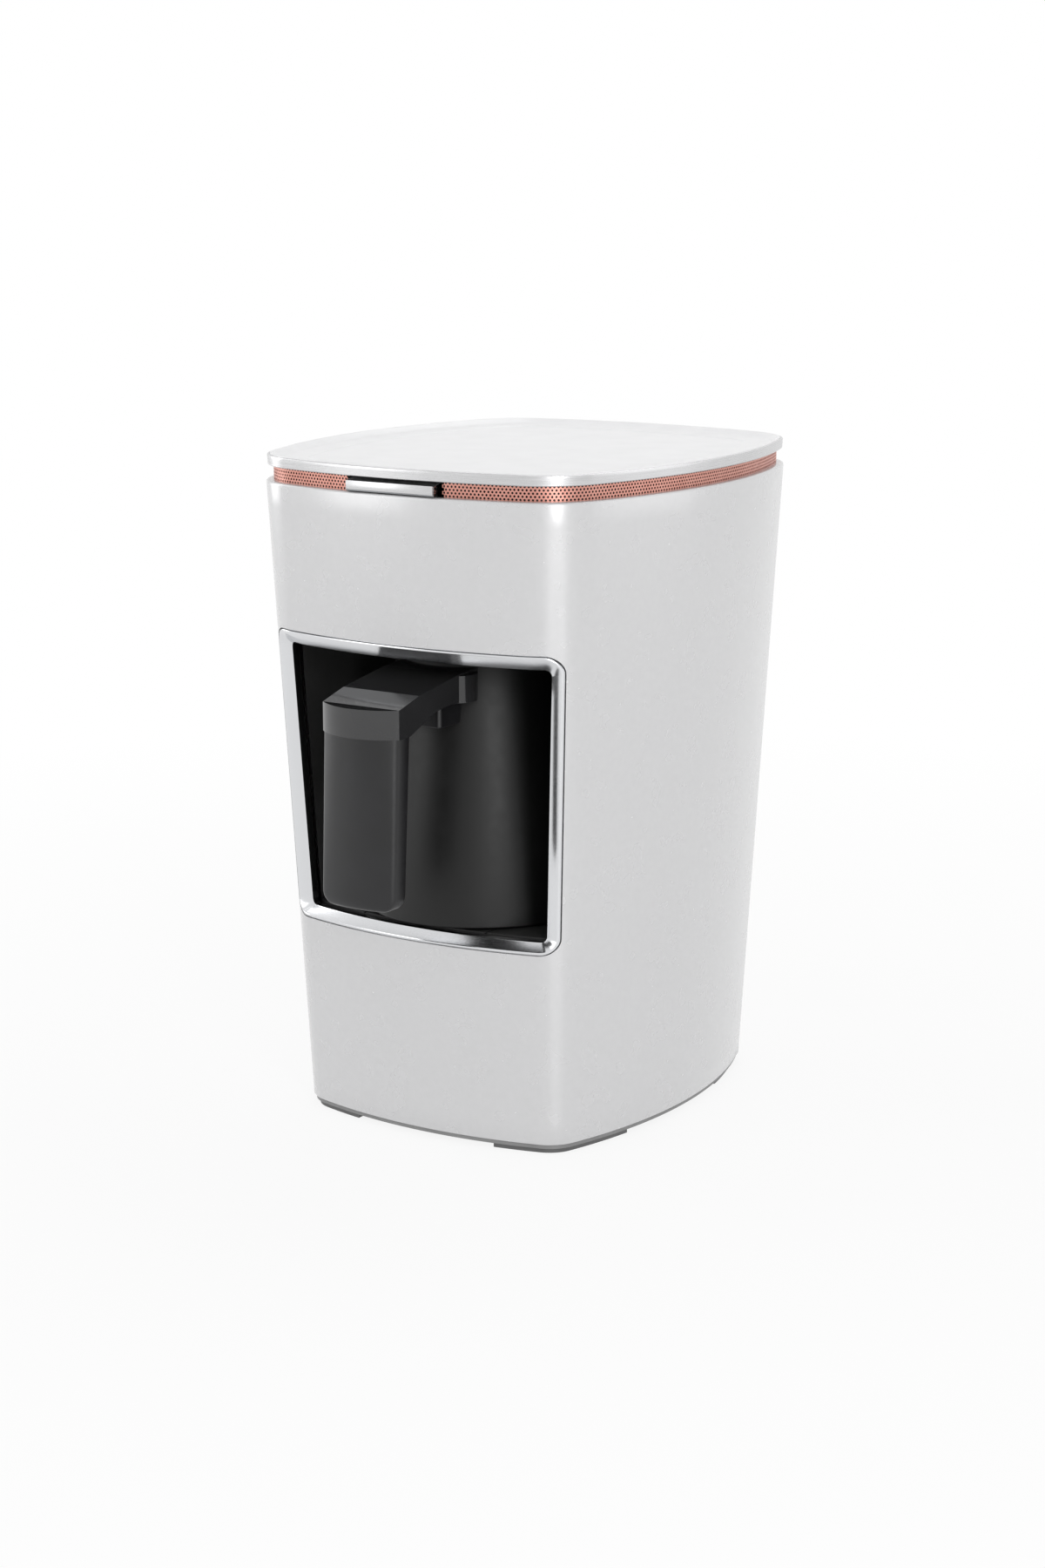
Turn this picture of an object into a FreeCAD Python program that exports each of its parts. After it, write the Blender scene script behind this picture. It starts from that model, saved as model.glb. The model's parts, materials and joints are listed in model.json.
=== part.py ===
# A one-touch electric Turkish coffee maker: a waisted housing with a window,
# a heated pot that pulls out of the window, and a start button under the lid.
# Lengths are in millimetres. The pieces are drawn about the vertical axis of the
# housing, with the floor at zero and the front towards -Y. At the end they are all
# moved back, so that the origin is under the middle of the whole object.
import FreeCAD
import Part
import Sketcher
import math
import os
import re

doc = FreeCAD.newDocument("coffee_maker")

# The driving sizes. Each one is set here once.
SIZES = (
    # Housing, from the floor up
    ("foot_height", 2.2),
    ("skirt_height", 1.8),
    ("shell_height", 265.3),
    ("band_height", 6.1),
    ("lid_height", 4.6),
    # Plan of the housing at its foot and at the top of its shell
    ("half_width_foot", 77.53),
    ("half_width_top", 92.22),
    ("half_depth_foot", 88.36),
    ("half_depth_top", 105.18),
    ("front_bulge_foot", 9.96),
    ("front_bulge_top", 11.14),
    ("side_bulge_foot", 15.17),
    ("side_bulge_top", 20.15),
    ("corner_foot", 16.02),
    ("corner_top", 32.09),
    # Walls and seats of the casing
    ("shell_wall", 2.0),
    ("lip_height", 2.0),
    ("seat_gap", 0.1),
    ("skirt_inset", 1.0),
    ("base_rise", 5.0),
    ("base_wall", 2.2),
    ("base_floor", 2.0),
    ("foot_inset", 2.4),
    ("foot_width", 13.0),
    ("foot_reach_x", 34.0),
    ("foot_reach_y", 38.0),
    # Vent band and the moulded ring behind it
    ("band_inset", 3.19),
    ("band_thickness", 0.8),
    ("vent_ring_wall", 2.4),
    ("vent_ring_flange", 3.0),
    ("vent_slot_width", 9.0),
    ("vent_slot_pitch", 14.0),
    ("vent_slot_height", 4.0),
    # Lid
    ("lid_inset", 1.14),
    ("trim_thickness", 1.1),
    ("trim_drop", 0.3),
    ("lid_rim", 2.2),
    ("lid_slope", 5.0),
    ("lid_dish", 2.2),
    ("lid_line_inset", 18.0),
    ("lid_line_width", 0.6),
    ("lid_line_depth", 0.3),
    # Window in the front
    ("window_low", 85.9),
    ("window_top", 208.55),
    ("window_side_low", 17.61),
    ("window_side_top", 19.09),
    ("window_corner", 7.0),
    ("frame_sill_height", 4.19),
    ("frame_head_height", 6.02),
    ("frame_side_width_low", 6.39),
    ("frame_side_width_top", 6.56),
    ("opening_corner", 2.5),
    ("window_gap", 0.45),
    ("frame_land", 0.9),
    ("frame_bevel_depth", 4.74),
    ("frame_depth", 8.0),
    ("frame_flange", 3.0),
    ("frame_clearance", 1.6),
    # Chamber behind the window
    ("liner_wall", 2.0),
    ("liner_clearance", 0.6),
    ("chamber_back", 20.0),
    ("chamber_rise", 3.5),
    ("chamber_floor_level", 90.7),
    ("floor_plate", 4.2),
    ("rail_spacing", 60.0),
    ("rail_width", 1.2),
    ("rail_depth", 0.6),
    ("mark_width", 3.0),
    ("mark_length", 6.0),
    ("pedestal_half_width", 46.0),
    ("pedestal_front", 62.0),
    ("pedestal_wall", 2.4),
    ("rib_thickness", 2.0),
    # Start button
    ("button_half_width", 21.0),
    ("button_setback", 0.5),
    ("button_rise", 0.3),
    ("button_height", 5.3),
    ("button_bevel", 1.2),
    ("button_bevel_run", 5.2),
    ("button_depth", 8.0),
    ("button_side_gap", 1.6),
    ("button_flange", 2.5),
    ("button_flange_depth", 3.0),
    ("button_travel", 1.5),
    ("guide_wall", 2.0),
    ("guide_clearance", 0.4),
    ("spring_length", 6.0),
    ("spring_radius", 2.0),
    ("spring_wire", 0.5),
    ("spring_turns", 3.0),
    ("spring_spacing", 26.0),
    ("switch_width", 6.0),
    ("switch_height", 4.6),
    ("switch_depth", 3.4),
    ("plunger_radius", 1.1),
    # Pot
    ("pot_axis", 39.5),
    ("pot_base_radius", 49.7),
    ("pot_base_level", 91.5),
    ("pot_rim_radius", 34.7),
    ("pot_height", 107.0),
    ("pot_wall", 1.6),
    ("pot_floor_rise", 11.0),
    ("pot_floor", 1.6),
    ("heater_radius", 36.0),
    ("heater_height", 3.0),
    ("cover_height", 2.4),
    ("cover_gap", 0.1),
    ("connector_half_width", 14.0),
    ("connector_height", 7.0),
    ("connector_reach", 12.0),
    ("pin_radius", 1.2),
    ("pin_length", 5.0),
    ("pin_spacing", 9.0),
    ("pin_clearance", 0.2),
    ("socket_gap", 1.0),
    # Handle
    ("handle_half_width", 18.5),
    ("arm_front", 128.0),
    ("arm_front_low", 176.3),
    ("arm_front_height", 11.5),
    ("arm_brow_height", 2.5),
    ("arm_brow_back", 3.5),
    ("arm_rear", 87.0),
    ("arm_slope_height", 7.0),
    ("arm_belly_height", 9.0),
    ("arm_belly_length", 10.0),
    ("arm_neck_length", 6.0),
    ("arm_chin", 9.0),
    ("arm_chin_rise", 3.0),
    ("neck_half_width", 16.0),
    ("face_radius", 70.0),
    ("grip_length", 69.3),
    ("grip_lean", 4.5),
    ("grip_half_width", 17.4),
    ("grip_half_width_low", 16.4),
    ("grip_thickness", 9.0),
    ("grip_corner", 6.0),
    ("lug_half_width", 13.5),
    ("lug_length", 3.0),
    ("lug_height", 10.8),
    ("lug_corner", 2.0),
    ("screw_radius", 1.75),
    ("screw_head_radius", 3.2),
    ("screw_head_height", 2.0),
    # Inner pieces
    ("lens_radius", 7.0),
    ("lens_thickness", 3.0),
    ("sensor_box_half", 14.0),
    ("sensor_box_height", 12.0),
    ("sensor_box_wall", 1.6),
    ("board_half_width", 42.0),
    ("board_level_height", 100.0),
    ("board_height", 92.0),
    ("board_thickness", 1.6),
    ("standoff_length", 8.0),
    ("standoff_radius", 3.5),
    ("standoff_edge_width", 6.0),
    ("relay_width", 20.0),
    ("relay_depth", 16.0),
    ("relay_height", 15.0),
    ("relay_rise_height", 12.0),
    ("capacitor_radius", 6.5),
    ("capacitor_length", 24.0),
    ("capacitor_rise_height", 40.0),
    ("capacitor_seat_width", 4.0),
    ("capacitor_seat_height", 2.0),
    ("buzzer_radius", 7.0),
    ("buzzer_height", 8.0),
    ("gland_radius", 7.0),
    ("gland_flange_radius", 10.0),
    ("gland_flange", 2.4),
    ("gland_bore", 3.7),
    ("gland_level", 24.0),
    ("gland_inside", 8.0),
    ("gland_nut_length", 4.0),
)

sheet = doc.addObject("Spreadsheet::Sheet", "Sizes")
for row, (alias, size) in enumerate(SIZES, start=1):
    sheet.set("A" + str(row), alias)
    sheet.set("B" + str(row), str(size))
    sheet.setAlias("B" + str(row), alias)
doc.recompute()

ALIASES = {alias for alias, size in SIZES}

# Levels and faces that several pieces share, in terms of the sizes above
SHELL_LOW = "(foot_height + skirt_height)"
SHELL_TOP = f"({SHELL_LOW} + shell_height)"
BAND_LOW = f"({SHELL_TOP} - lip_height)"
BAND_TOP = f"({SHELL_TOP} + band_height)"
LID_TOP = f"({BAND_TOP} + lid_height)"
POT_RIM = "(pot_base_level + pot_height)"
LINER_LOW = "(chamber_floor_level - floor_plate)"
LINER_TOP = "(opening_top + chamber_rise)"
LINER_BACK = "(chamber_back + liner_wall)"
BUTTON_FRONT = "(half_depth_top - button_setback)"
BUTTON_BACK = f"({BUTTON_FRONT} - button_depth)"
BUTTON_LOW = f"({SHELL_TOP} + button_rise)"
RETURN_FACE = f"({BUTTON_BACK} - button_flange_depth)"
GUIDE_BACK = f"({RETURN_FACE} - spring_length)"
GRIP_TOP_FRONT = "arm_front"
GRIP_FOOT_FRONT = "(arm_front + grip_lean)"
# The pot's handle reaches further forward than the shell does backward
SHIFT = f"(({GRIP_FOOT_FRONT}) - half_depth_top) / 2"


def bind(text):
    """Write an expression in the sheet's names out in full."""
    return re.sub(r"[A-Za-z_]\w*", lambda m: "Sizes." + m[0] if m[0] in ALIASES else m[0], str(text))


def number(text):
    """The present value of an expression."""
    value = doc.Sizes.evalExpression(bind(text))
    return float(getattr(value, "Value", value))


def drive(item, path, text):
    """Tie a property of a feature to an expression."""
    item.setExpression(path, bind(text))


def new_sketch(owner, name, plane, level="0"):
    """Start a sketch on a plane of a body, or free in the document."""
    turns = {
        "XY": FreeCAD.Rotation(),
        "XZ": FreeCAD.Rotation(FreeCAD.Vector(1, 0, 0), 90),
        "YZ": FreeCAD.Rotation(FreeCAD.Vector(1, 1, 1), 120),
    }
    if owner is None:
        sketch = doc.addObject("Sketcher::SketchObject", name)
        sketch.Placement = FreeCAD.Placement(FreeCAD.Vector(), turns[plane])
        if plane == "XY":
            drive(sketch, "Placement.Base.z", level)
        return sketch
    sketch = owner.newObject("Sketcher::SketchObject", name)
    support = [item for item in owner.Origin.OriginFeatures if item.Role == plane + "_Plane"]
    sketch.AttachmentSupport = [(support[0], "")]
    sketch.MapMode = "FlatFace"
    drive(sketch, "AttachmentOffset.Base.z", level)
    return sketch


def constrain(sketch, kind, *data, text=None):
    """Add one constraint, tied to an expression where it has a size."""
    if text is None:
        return sketch.addConstraint(Sketcher.Constraint(kind, *data))
    index = sketch.addConstraint(Sketcher.Constraint(kind, *data, number(text)))
    drive(sketch, f"Constraints[{index}]", text)
    return index


def place_point(sketch, geo, end, across, along):
    """Hold a point of a sketch at a signed distance from the origin, both ways."""
    for kind, text in (("DistanceX", across), ("DistanceY", along)):
        if number(text) < 0:
            constrain(sketch, kind, geo, end, -1, 1, text=f"-({text})")
        else:
            constrain(sketch, kind, -1, 1, geo, end, text=text)


def at(level, name):
    """A plan size of the housing at a level, on the straight taper from foot to top."""
    return f"({name}_foot + ({name}_top - {name}_foot) * ({level} - {SHELL_LOW}) / shell_height)"


# Sizes that follow from the ones in the list above
FOLLOWING = (
    ("window_half_low", f"{at('window_low', 'half_width')} - window_side_low"),
    ("window_half_top", f"{at('window_top', 'half_width')} - window_side_top"),
    ("opening_low", "window_low + frame_sill_height"),
    ("opening_top", "window_top - frame_head_height"),
    ("opening_half_low", "window_half_low - frame_side_width_low"),
    ("opening_half_top", "window_half_top - frame_side_width_top"),
    ("arm_front_top", "arm_front_low + arm_front_height"),
    ("arm_brow", "arm_front_top + arm_brow_height"),
    ("arm_rear_top", "arm_brow + arm_slope_height"),
    ("arm_rear_low", "arm_front_low + arm_belly_height"),
    ("grip_low", "arm_front_low - grip_length"),
    ("lug_front", "arm_rear + lug_length"),
    ("lug_low", "arm_rear_low - lug_height"),
)
for row, (alias, formula) in enumerate(FOLLOWING, start=len(SIZES) + 1):
    sheet.set("A" + str(row), alias)
    sheet.set("B" + str(row), "=" + formula)
    sheet.setAlias("B" + str(row), alias)
    ALIASES.add(alias)
doc.recompute()


def plan(level):
    """Radii and centre distances of the four large arcs of the plan at a level."""
    across = f"({at(level, 'half_width')} - {at(level, 'side_bulge')})"
    along = f"({at(level, 'half_depth')} - {at(level, 'front_bulge')})"
    front = f"(({across} ^ 2 + {at(level, 'front_bulge')} ^ 2) / (2 * {at(level, 'front_bulge')}))"
    side = f"(({along} ^ 2 + {at(level, 'side_bulge')} ^ 2) / (2 * {at(level, 'side_bulge')}))"
    front_back = f"({front} - {at(level, 'half_depth')})"
    side_back = f"({side} - {at(level, 'half_width')})"
    return front, side, at(level, "corner"), front_back, side_back


def corner_centre(front, side, corner, front_back, side_back):
    """Centre of the right front corner, which touches the front and the side arcs."""
    near = front - corner
    far = side - corner
    gap = math.hypot(side_back, front_back)
    along = (near ** 2 - far ** 2 + gap ** 2) / (2 * gap)
    rise = math.sqrt(near ** 2 - along ** 2)
    # From the front arc's centre towards the side arc's centre
    ux, uy = -side_back / gap, -front_back / gap
    return along * ux - rise * uy, front_back + along * uy + rise * ux


def outline(owner, name, level, inset="0"):
    """Plan of the housing at a level, drawn in by an inset: four large arcs, four corners."""
    texts = plan(level)
    front, side, corner, front_back, side_back = [number(text) for text in texts]
    shrink = number(inset)
    cx, cy = corner_centre(front, side, corner, front_back, side_back)
    if cx < 0 or cy > 0:
        raise ValueError("corner centre on the wrong side")
    sketch = new_sketch(owner, name, "XY", level)
    lean = math.atan2(cx, front_back - cy)
    turn = math.atan2(-cy, cx + side_back)
    quarter = math.pi / 2
    rounds = []
    for centre, radius, start, end in (
        ((0, front_back), front, -quarter - lean, -quarter + lean),
        ((cx, cy), corner, -quarter + lean, -turn),
        ((-side_back, 0), side, -turn, turn),
        ((cx, -cy), corner, turn, quarter - lean),
        ((0, -front_back), front, quarter - lean, quarter + lean),
        ((-cx, -cy), corner, quarter + lean, math.pi - turn),
        ((side_back, 0), side, math.pi - turn, math.pi + turn),
        ((-cx, cy), corner, math.pi + turn, 3 * quarter - lean),
    ):
        circle = Part.Circle(FreeCAD.Vector(*centre, 0), FreeCAD.Vector(0, 0, 1), radius - shrink)
        rounds.append(sketch.addGeometry(Part.ArcOfCircle(circle, start, end)))
    for this, after in zip(rounds, rounds[1:] + rounds[:1]):
        constrain(sketch, "Tangent", this, 2, after, 1)
    for arc, axis in ((0, -2), (4, -2), (2, -1), (6, -1)):
        constrain(sketch, "PointOnObject", arc, 3, axis)
    for first, second in ((0, 4), (2, 6), (1, 3), (1, 5), (1, 7)):
        constrain(sketch, "Equal", first, second)
    for arc, text in ((0, texts[0]), (2, texts[1]), (1, texts[2])):
        constrain(sketch, "Radius", arc, text=f"{text} - ({inset})")
    constrain(sketch, "DistanceY", -1, 1, 0, 3, text=texts[3])
    constrain(sketch, "DistanceY", 4, 3, -1, 1, text=texts[3])
    constrain(sketch, "DistanceX", 2, 3, -1, 1, text=texts[4])
    constrain(sketch, "DistanceX", -1, 1, 6, 3, text=texts[4])
    return sketch


def polygon(owner, name, plane, points, level="0"):
    """A closed sketch of straight lines, each corner held by its own sizes."""
    sketch = new_sketch(owner, name, plane, level)
    places = [FreeCAD.Vector(number(across), number(along), 0) for across, along in points]
    count = len(places)
    for index in range(count):
        sketch.addGeometry(Part.LineSegment(places[index], places[(index + 1) % count]))
    for index in range(count):
        constrain(sketch, "Coincident", index, 2, (index + 1) % count, 1)
    for index, (across, along) in enumerate(points):
        place_point(sketch, index, 1, across, along)
    return sketch


def mirrored(points):
    """Corners on the right, followed by the same corners on the left."""
    return list(points) + [(f"-({across})", along) for across, along in reversed(points)]


def extrude(name, sketch, direction, forward, backward="0"):
    """A solid drawn out of a sketch along one direction."""
    solid = doc.addObject("Part::Extrusion", name)
    solid.Base = sketch
    solid.DirMode = "Custom"
    solid.Dir = FreeCAD.Vector(*direction)
    solid.Solid = True
    drive(solid, "LengthFwd", forward)
    drive(solid, "LengthRev", backward)
    return solid


def slab(name, level, height, inset="0"):
    """A plate with the housing's plan and upright edges."""
    return extrude(name, outline(None, name + "_plan", level, inset), (0, 0, 1), height)


def tapered(name, low, high, inset="0"):
    """A solid with the housing's plan that follows its taper between two levels."""
    solid = doc.addObject("Part::Loft", name)
    solid.Sections = [
        outline(None, name + "_low", low, inset),
        outline(None, name + "_high", high, inset),
    ]
    solid.Solid = True
    solid.Ruled = True
    return solid


def block(name, xs, ys, zs):
    """A box between two limits on each axis."""
    solid = doc.addObject("Part::Box", name)
    for side, base, (low, high) in (("Length", "x", xs), ("Width", "y", ys), ("Height", "z", zs)):
        drive(solid, side, f"({high}) - ({low})")
        drive(solid, "Placement.Base." + base, low)
    return solid


def rod(name, radius, length, place, axis="Z"):
    """A cylinder from a place along one axis."""
    solid = doc.addObject("Part::Cylinder", name)
    turns = {
        "Z": FreeCAD.Rotation(),
        "Y": FreeCAD.Rotation(FreeCAD.Vector(1, 0, 0), -90),
        "X": FreeCAD.Rotation(FreeCAD.Vector(0, 1, 0), 90),
    }
    solid.Placement = FreeCAD.Placement(FreeCAD.Vector(), turns[axis])
    drive(solid, "Radius", radius)
    drive(solid, "Height", length)
    for base, text in zip("xyz", place):
        drive(solid, "Placement.Base." + base, text)
    return solid


def cut(name, base, *tools):
    """One piece less the others."""
    for index, tool in enumerate(tools):
        result = doc.addObject("Part::Cut", f"{name}_{index}")
        result.Base = base
        result.Tool = tool
        base = result
    return base


def join(name, *pieces):
    """Pieces that are moulded as one."""
    result = doc.addObject("Part::MultiFuse", name)
    result.Shapes = list(pieces)
    result.Refine = True
    return result


def overlap(name, *pieces):
    """The space that all the pieces share."""
    result = doc.addObject("Part::MultiCommon", name)
    result.Shapes = list(pieces)
    return result


def group(name, *pieces):
    """Separate solids that are kept as one node."""
    result = doc.addObject("Part::Compound", name)
    result.Links = list(pieces)
    return result


def round_edges(name, base, radius, chosen):
    """Round the edges of a solid that a test picks."""
    doc.recompute()
    picked = [index for index, edge in enumerate(base.Shape.Edges, start=1) if chosen(edge)]
    result = doc.addObject("Part::Fillet", name)
    result.Base = base
    result.Edges = [(index, number(radius), number(radius)) for index in picked]
    return result


def upright(edge):
    """True for an edge that stands up."""
    ends = [vertex.Point for vertex in edge.Vertexes]
    return len(ends) == 2 and abs(ends[0].z - ends[1].z) > 0.9 * edge.Length


def fore_and_aft(edge):
    """True for an edge that runs from front to back."""
    ends = [vertex.Point for vertex in edge.Vertexes]
    return len(ends) == 2 and abs(ends[0].y - ends[1].y) > 0.9 * edge.Length


def rounded_prism(name, points, reach, radius, chosen=fore_and_aft):
    """A block drawn from front to back out of a shape, with its long edges rounded."""
    forward, backward = reach
    solid = extrude(name + "_block", polygon(None, name + "_shape", "XZ", points), (0, -1, 0), forward, backward)
    return round_edges(name, solid, radius, chosen)


nodes = {}


def keep(name, item):
    """Name a finished piece and move it with the rest of the object."""
    item.Label = name
    own = dict(item.ExpressionEngine).get("Placement.Base.y", dict(item.ExpressionEngine).get(".Placement.Base.y"))
    item.setExpression("Placement.Base.y", f"({own or 0}) + {bind(SHIFT)}")
    nodes[name] = item


# Painted shell: a tapered sleeve with an inward lip at the top and a window in front
def make_outer_shell():
    body = doc.addObject("PartDesign::Body", "ShellBody")
    solid = body.newObject("PartDesign::AdditiveLoft", "ShellSolid")
    solid.Profile = outline(body, "ShellFoot", SHELL_LOW)
    solid.Sections = [outline(body, "ShellTop", SHELL_TOP)]
    solid.Ruled = True
    doc.recompute()
    hollow = body.newObject("PartDesign::SubtractiveLoft", "ShellHollow")
    hollow.Profile = outline(body, "HollowFoot", SHELL_LOW, "shell_wall")
    hollow.Sections = [outline(body, "HollowTop", BAND_LOW, "shell_wall")]
    hollow.Ruled = True
    doc.recompute()
    mouth = body.newObject("PartDesign::Pocket", "ShellMouth")
    mouth.Profile = outline(body, "MouthPlan", SHELL_TOP, "band_inset")
    drive(mouth, "Length", "2 * lip_height")
    doc.recompute()
    hole = body.newObject("PartDesign::Pocket", "GlandHole")
    hole_shape = new_sketch(body, "GlandHoleShape", "XZ")
    hole_shape.addGeometry(
        Part.Circle(FreeCAD.Vector(0, number("gland_level"), 0), FreeCAD.Vector(0, 0, 1), number("gland_radius"))
    )
    constrain(hole_shape, "Radius", 0, text="gland_radius + seat_gap")
    constrain(hole_shape, "DistanceY", -1, 1, 0, 3, text="gland_level")
    constrain(hole_shape, "PointOnObject", 0, 3, -2)
    hole.Profile = hole_shape
    drive(hole, "Length", "2 * half_depth_top")
    body.Tip = hole
    window = rounded_prism("ShellWindow", mirrored((
        ("window_half_low + window_gap", "window_low - window_gap"),
        ("window_half_top + window_gap", "window_top + window_gap"),
    )), ("1.2 * half_depth_top", "0"), "window_corner + window_gap")
    keep("outer_shell", cut("Shell", body, window))


# Window frame: a bevelled metal bezel that follows the curved front of the housing
def front_y(x, level, inset):
    """How far forward the front of the housing is at a place across and up."""
    front, side, corner, front_back, side_back = [number(text) for text in plan(str(level))]
    cx, cy = corner_centre(front, side, corner, front_back, side_back)
    if abs(x) <= cx * (front - inset) / (front - corner):
        return front_back - math.sqrt((front - inset) ** 2 - x * x)
    return cy - math.sqrt(max((corner - inset) ** 2 - (abs(x) - cx) ** 2, 0))


def frame_loop(half_low, low, half_top, top, radius, arc_steps, span_steps):
    """Points round a window with slanting sides and rounded corners, from the low right."""
    corners = [(half_low, low), (half_top, top), (-half_top, top), (-half_low, low)]
    points = []
    for index, (x, z) in enumerate(corners):
        before = corners[index - 1]
        after = corners[(index + 1) % 4]
        back = FreeCAD.Vector(before[0] - x, before[1] - z, 0).normalize()
        ahead = FreeCAD.Vector(after[0] - x, after[1] - z, 0).normalize()
        half = back.getAngle(ahead) / 2
        centre = FreeCAD.Vector(x, z, 0) + (back + ahead).normalize() * (radius / math.sin(half))
        enter = FreeCAD.Vector(x, z, 0) + back * (radius / math.tan(half)) - centre
        sweep = math.pi - 2 * half
        for step in range(arc_steps + 1):
            turn = FreeCAD.Rotation(FreeCAD.Vector(0, 0, 1), math.degrees(sweep) * step / arc_steps)
            points.append(centre + turn.multVec(enter))
        leave = points[-1]
        spot = FreeCAD.Vector(after[0], after[1], 0)
        back_after = (FreeCAD.Vector(x, z, 0) - spot).normalize()
        beyond = corners[(index + 2) % 4]
        ahead_after = (FreeCAD.Vector(beyond[0], beyond[1], 0) - spot).normalize()
        half_after = back_after.getAngle(ahead_after) / 2
        arrive = spot + back_after * (radius / math.tan(half_after))
        steps = span_steps[index % 2]
        for step in range(1, steps):
            points.append(leave + (arrive - leave) * (step / steps))
    return points


def make_window_frame():
    arc_steps = 4
    span_steps = (6, 12)
    outer = [number(text) for text in ("window_half_low", "window_low", "window_half_top", "window_top")]
    inner = [number(text) for text in ("opening_half_low", "opening_low", "opening_half_top", "opening_top")]
    grow = number("frame_flange")
    wide = [outer[0] + grow, outer[1] - grow, outer[2] + grow, outer[3] + grow]
    land = number("frame_land")
    narrow = [outer[0] - land, outer[1] + land, outer[2] - land, outer[3] - land]
    loops = {
        "outer": frame_loop(*outer, number("window_corner"), arc_steps, span_steps),
        "land": frame_loop(*narrow, number("window_corner - frame_land"), arc_steps, span_steps),
        "inner": frame_loop(*inner, number("opening_corner"), arc_steps, span_steps),
        "flange": frame_loop(*wide, number("window_corner + frame_flange"), arc_steps, span_steps),
    }
    behind = number("shell_wall + seat_gap")
    depth = number("frame_depth")
    profile = (
        ("outer", 0.0),
        ("land", 0.0),
        ("inner", number("frame_bevel_depth")),
        ("inner", depth),
        ("flange", depth),
        ("flange", behind),
        ("outer", behind),
    )
    sections = []
    for station in range(len(loops["outer"])):
        ring = []
        for loop, inset in profile:
            spot = loops[loop][station]
            ring.append(FreeCAD.Vector(spot.x, front_y(spot.x, spot.y, inset), spot.y))
        sections.append(Part.makePolygon(ring + ring[:1]))
    frame = doc.addObject("Part::Feature", "WindowFrame")
    frame.Shape = Part.makeLoft(sections, True, True, True)
    keep("window_frame", frame)


# Chamber: a black moulded tub behind the window, with its floor plate and pedestal
def chamber_side(level):
    """Half-width of the chamber at a level, on the slant of the window's opening."""
    return (
        f"(opening_half_low + liner_clearance + (opening_half_top - opening_half_low)"
        f" * ({level} - opening_low) / (opening_top - opening_low))"
    )


def make_chamber():
    core = tapered("LinerCore", SHELL_LOW, SHELL_TOP, "frame_depth + frame_clearance")
    wide = mirrored((
        (f"{chamber_side(LINER_LOW)} + liner_wall", f"{LINER_LOW} - liner_wall"),
        (f"{chamber_side(LINER_TOP)} + liner_wall", f"{LINER_TOP} + liner_wall"),
    ))
    clear = mirrored((
        (chamber_side(LINER_LOW), LINER_LOW),
        (chamber_side(LINER_TOP), LINER_TOP),
    ))
    solid = extrude("LinerSolid", polygon(None, "LinerShape", "XZ", wide), (0, 1, 0), LINER_BACK, "half_depth_top")
    room = extrude("LinerRoom", polygon(None, "RoomShape", "XZ", clear), (0, 1, 0), "chamber_back", "half_depth_top")
    sight = rod("LensHole", "lens_radius + seat_gap", "3 * liner_wall", ("0", "-pot_axis", f"{LINER_TOP} - liner_wall"))
    shaped = overlap("LinerShaped", cut("LinerTub", solid, room), core)
    keep("chamber_liner", cut("Liner", shaped, sight))

    floor_shape = polygon(None, "FloorShape", "XZ", mirrored((
        (f"{chamber_side(LINER_LOW)} - seat_gap", LINER_LOW),
        (f"{chamber_side('chamber_floor_level')} - seat_gap", "chamber_floor_level"),
    )))
    plate = extrude("FloorSolid", floor_shape, (0, 1, 0), "chamber_back - seat_gap", "half_depth_top")
    core_floor = tapered("FloorCore", SHELL_LOW, SHELL_TOP, "frame_depth + frame_clearance")
    floor = overlap("FloorTrimmed", plate, core_floor)
    rail_zs = ("chamber_floor_level - rail_depth", "chamber_floor_level + rail_depth")
    rails = [
        block(
            f"Rail{side}",
            (f"{side} * rail_spacing / 2 - rail_width / 2", f"{side} * rail_spacing / 2 + rail_width / 2"),
            ("-half_depth_top", "0"),
            rail_zs,
        )
        for side in (-1, 1)
    ]
    mark = block(
        "Mark",
        ("-mark_width / 2", "mark_width / 2"),
        ("-(pot_axis + pot_base_radius) + mark_length / 2", "-(pot_axis + pot_base_radius) + 1.5 * mark_length"),
        rail_zs,
    )
    keep("chamber_floor", cut("Floor", floor, *rails, mark))


def make_pedestal():
    low = f"({SHELL_LOW} - skirt_height + base_floor)"
    high = f"({LINER_LOW} - liner_wall)"
    body = doc.addObject("PartDesign::Body", "PedestalBody")
    solid = body.newObject("PartDesign::Pad", "PedestalSolid")
    solid.Profile = polygon(body, "PedestalPlan", "XY", mirrored((
        ("pedestal_half_width", "-pedestal_front"),
        ("pedestal_half_width", "chamber_back"),
    )), low)
    drive(solid, "Length", f"{high} - {low}")
    doc.recompute()
    hollow = body.newObject("PartDesign::Pocket", "PedestalHollow")
    hollow.Profile = polygon(body, "PedestalRoom", "XY", mirrored((
        ("pedestal_half_width - pedestal_wall", "-pedestal_front + pedestal_wall"),
        ("pedestal_half_width - pedestal_wall", "chamber_back - pedestal_wall"),
    )), high)
    drive(hollow, "Length", f"{high} - {low} - pedestal_wall")
    doc.recompute()
    rib = body.newObject("PartDesign::Pad", "PedestalRib")
    rib.Profile = polygon(body, "RibPlan", "XY", mirrored((
        ("rib_thickness / 2", "-pedestal_front + pedestal_wall / 2"),
        ("rib_thickness / 2", "chamber_back - pedestal_wall / 2"),
    )), low)
    drive(rib, "Length", f"{high} - {low}")
    body.Tip = rib
    pilots = [
        rod(f"PedestalPilot{index}", "screw_radius + seat_gap / 2", "3 * pedestal_wall",
            (across, along, f"{low} - pedestal_wall"))
        for index, (across, along) in enumerate(screw_places())
    ]
    keep("chamber_pedestal", cut("Pedestal", body, *pilots))


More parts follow.
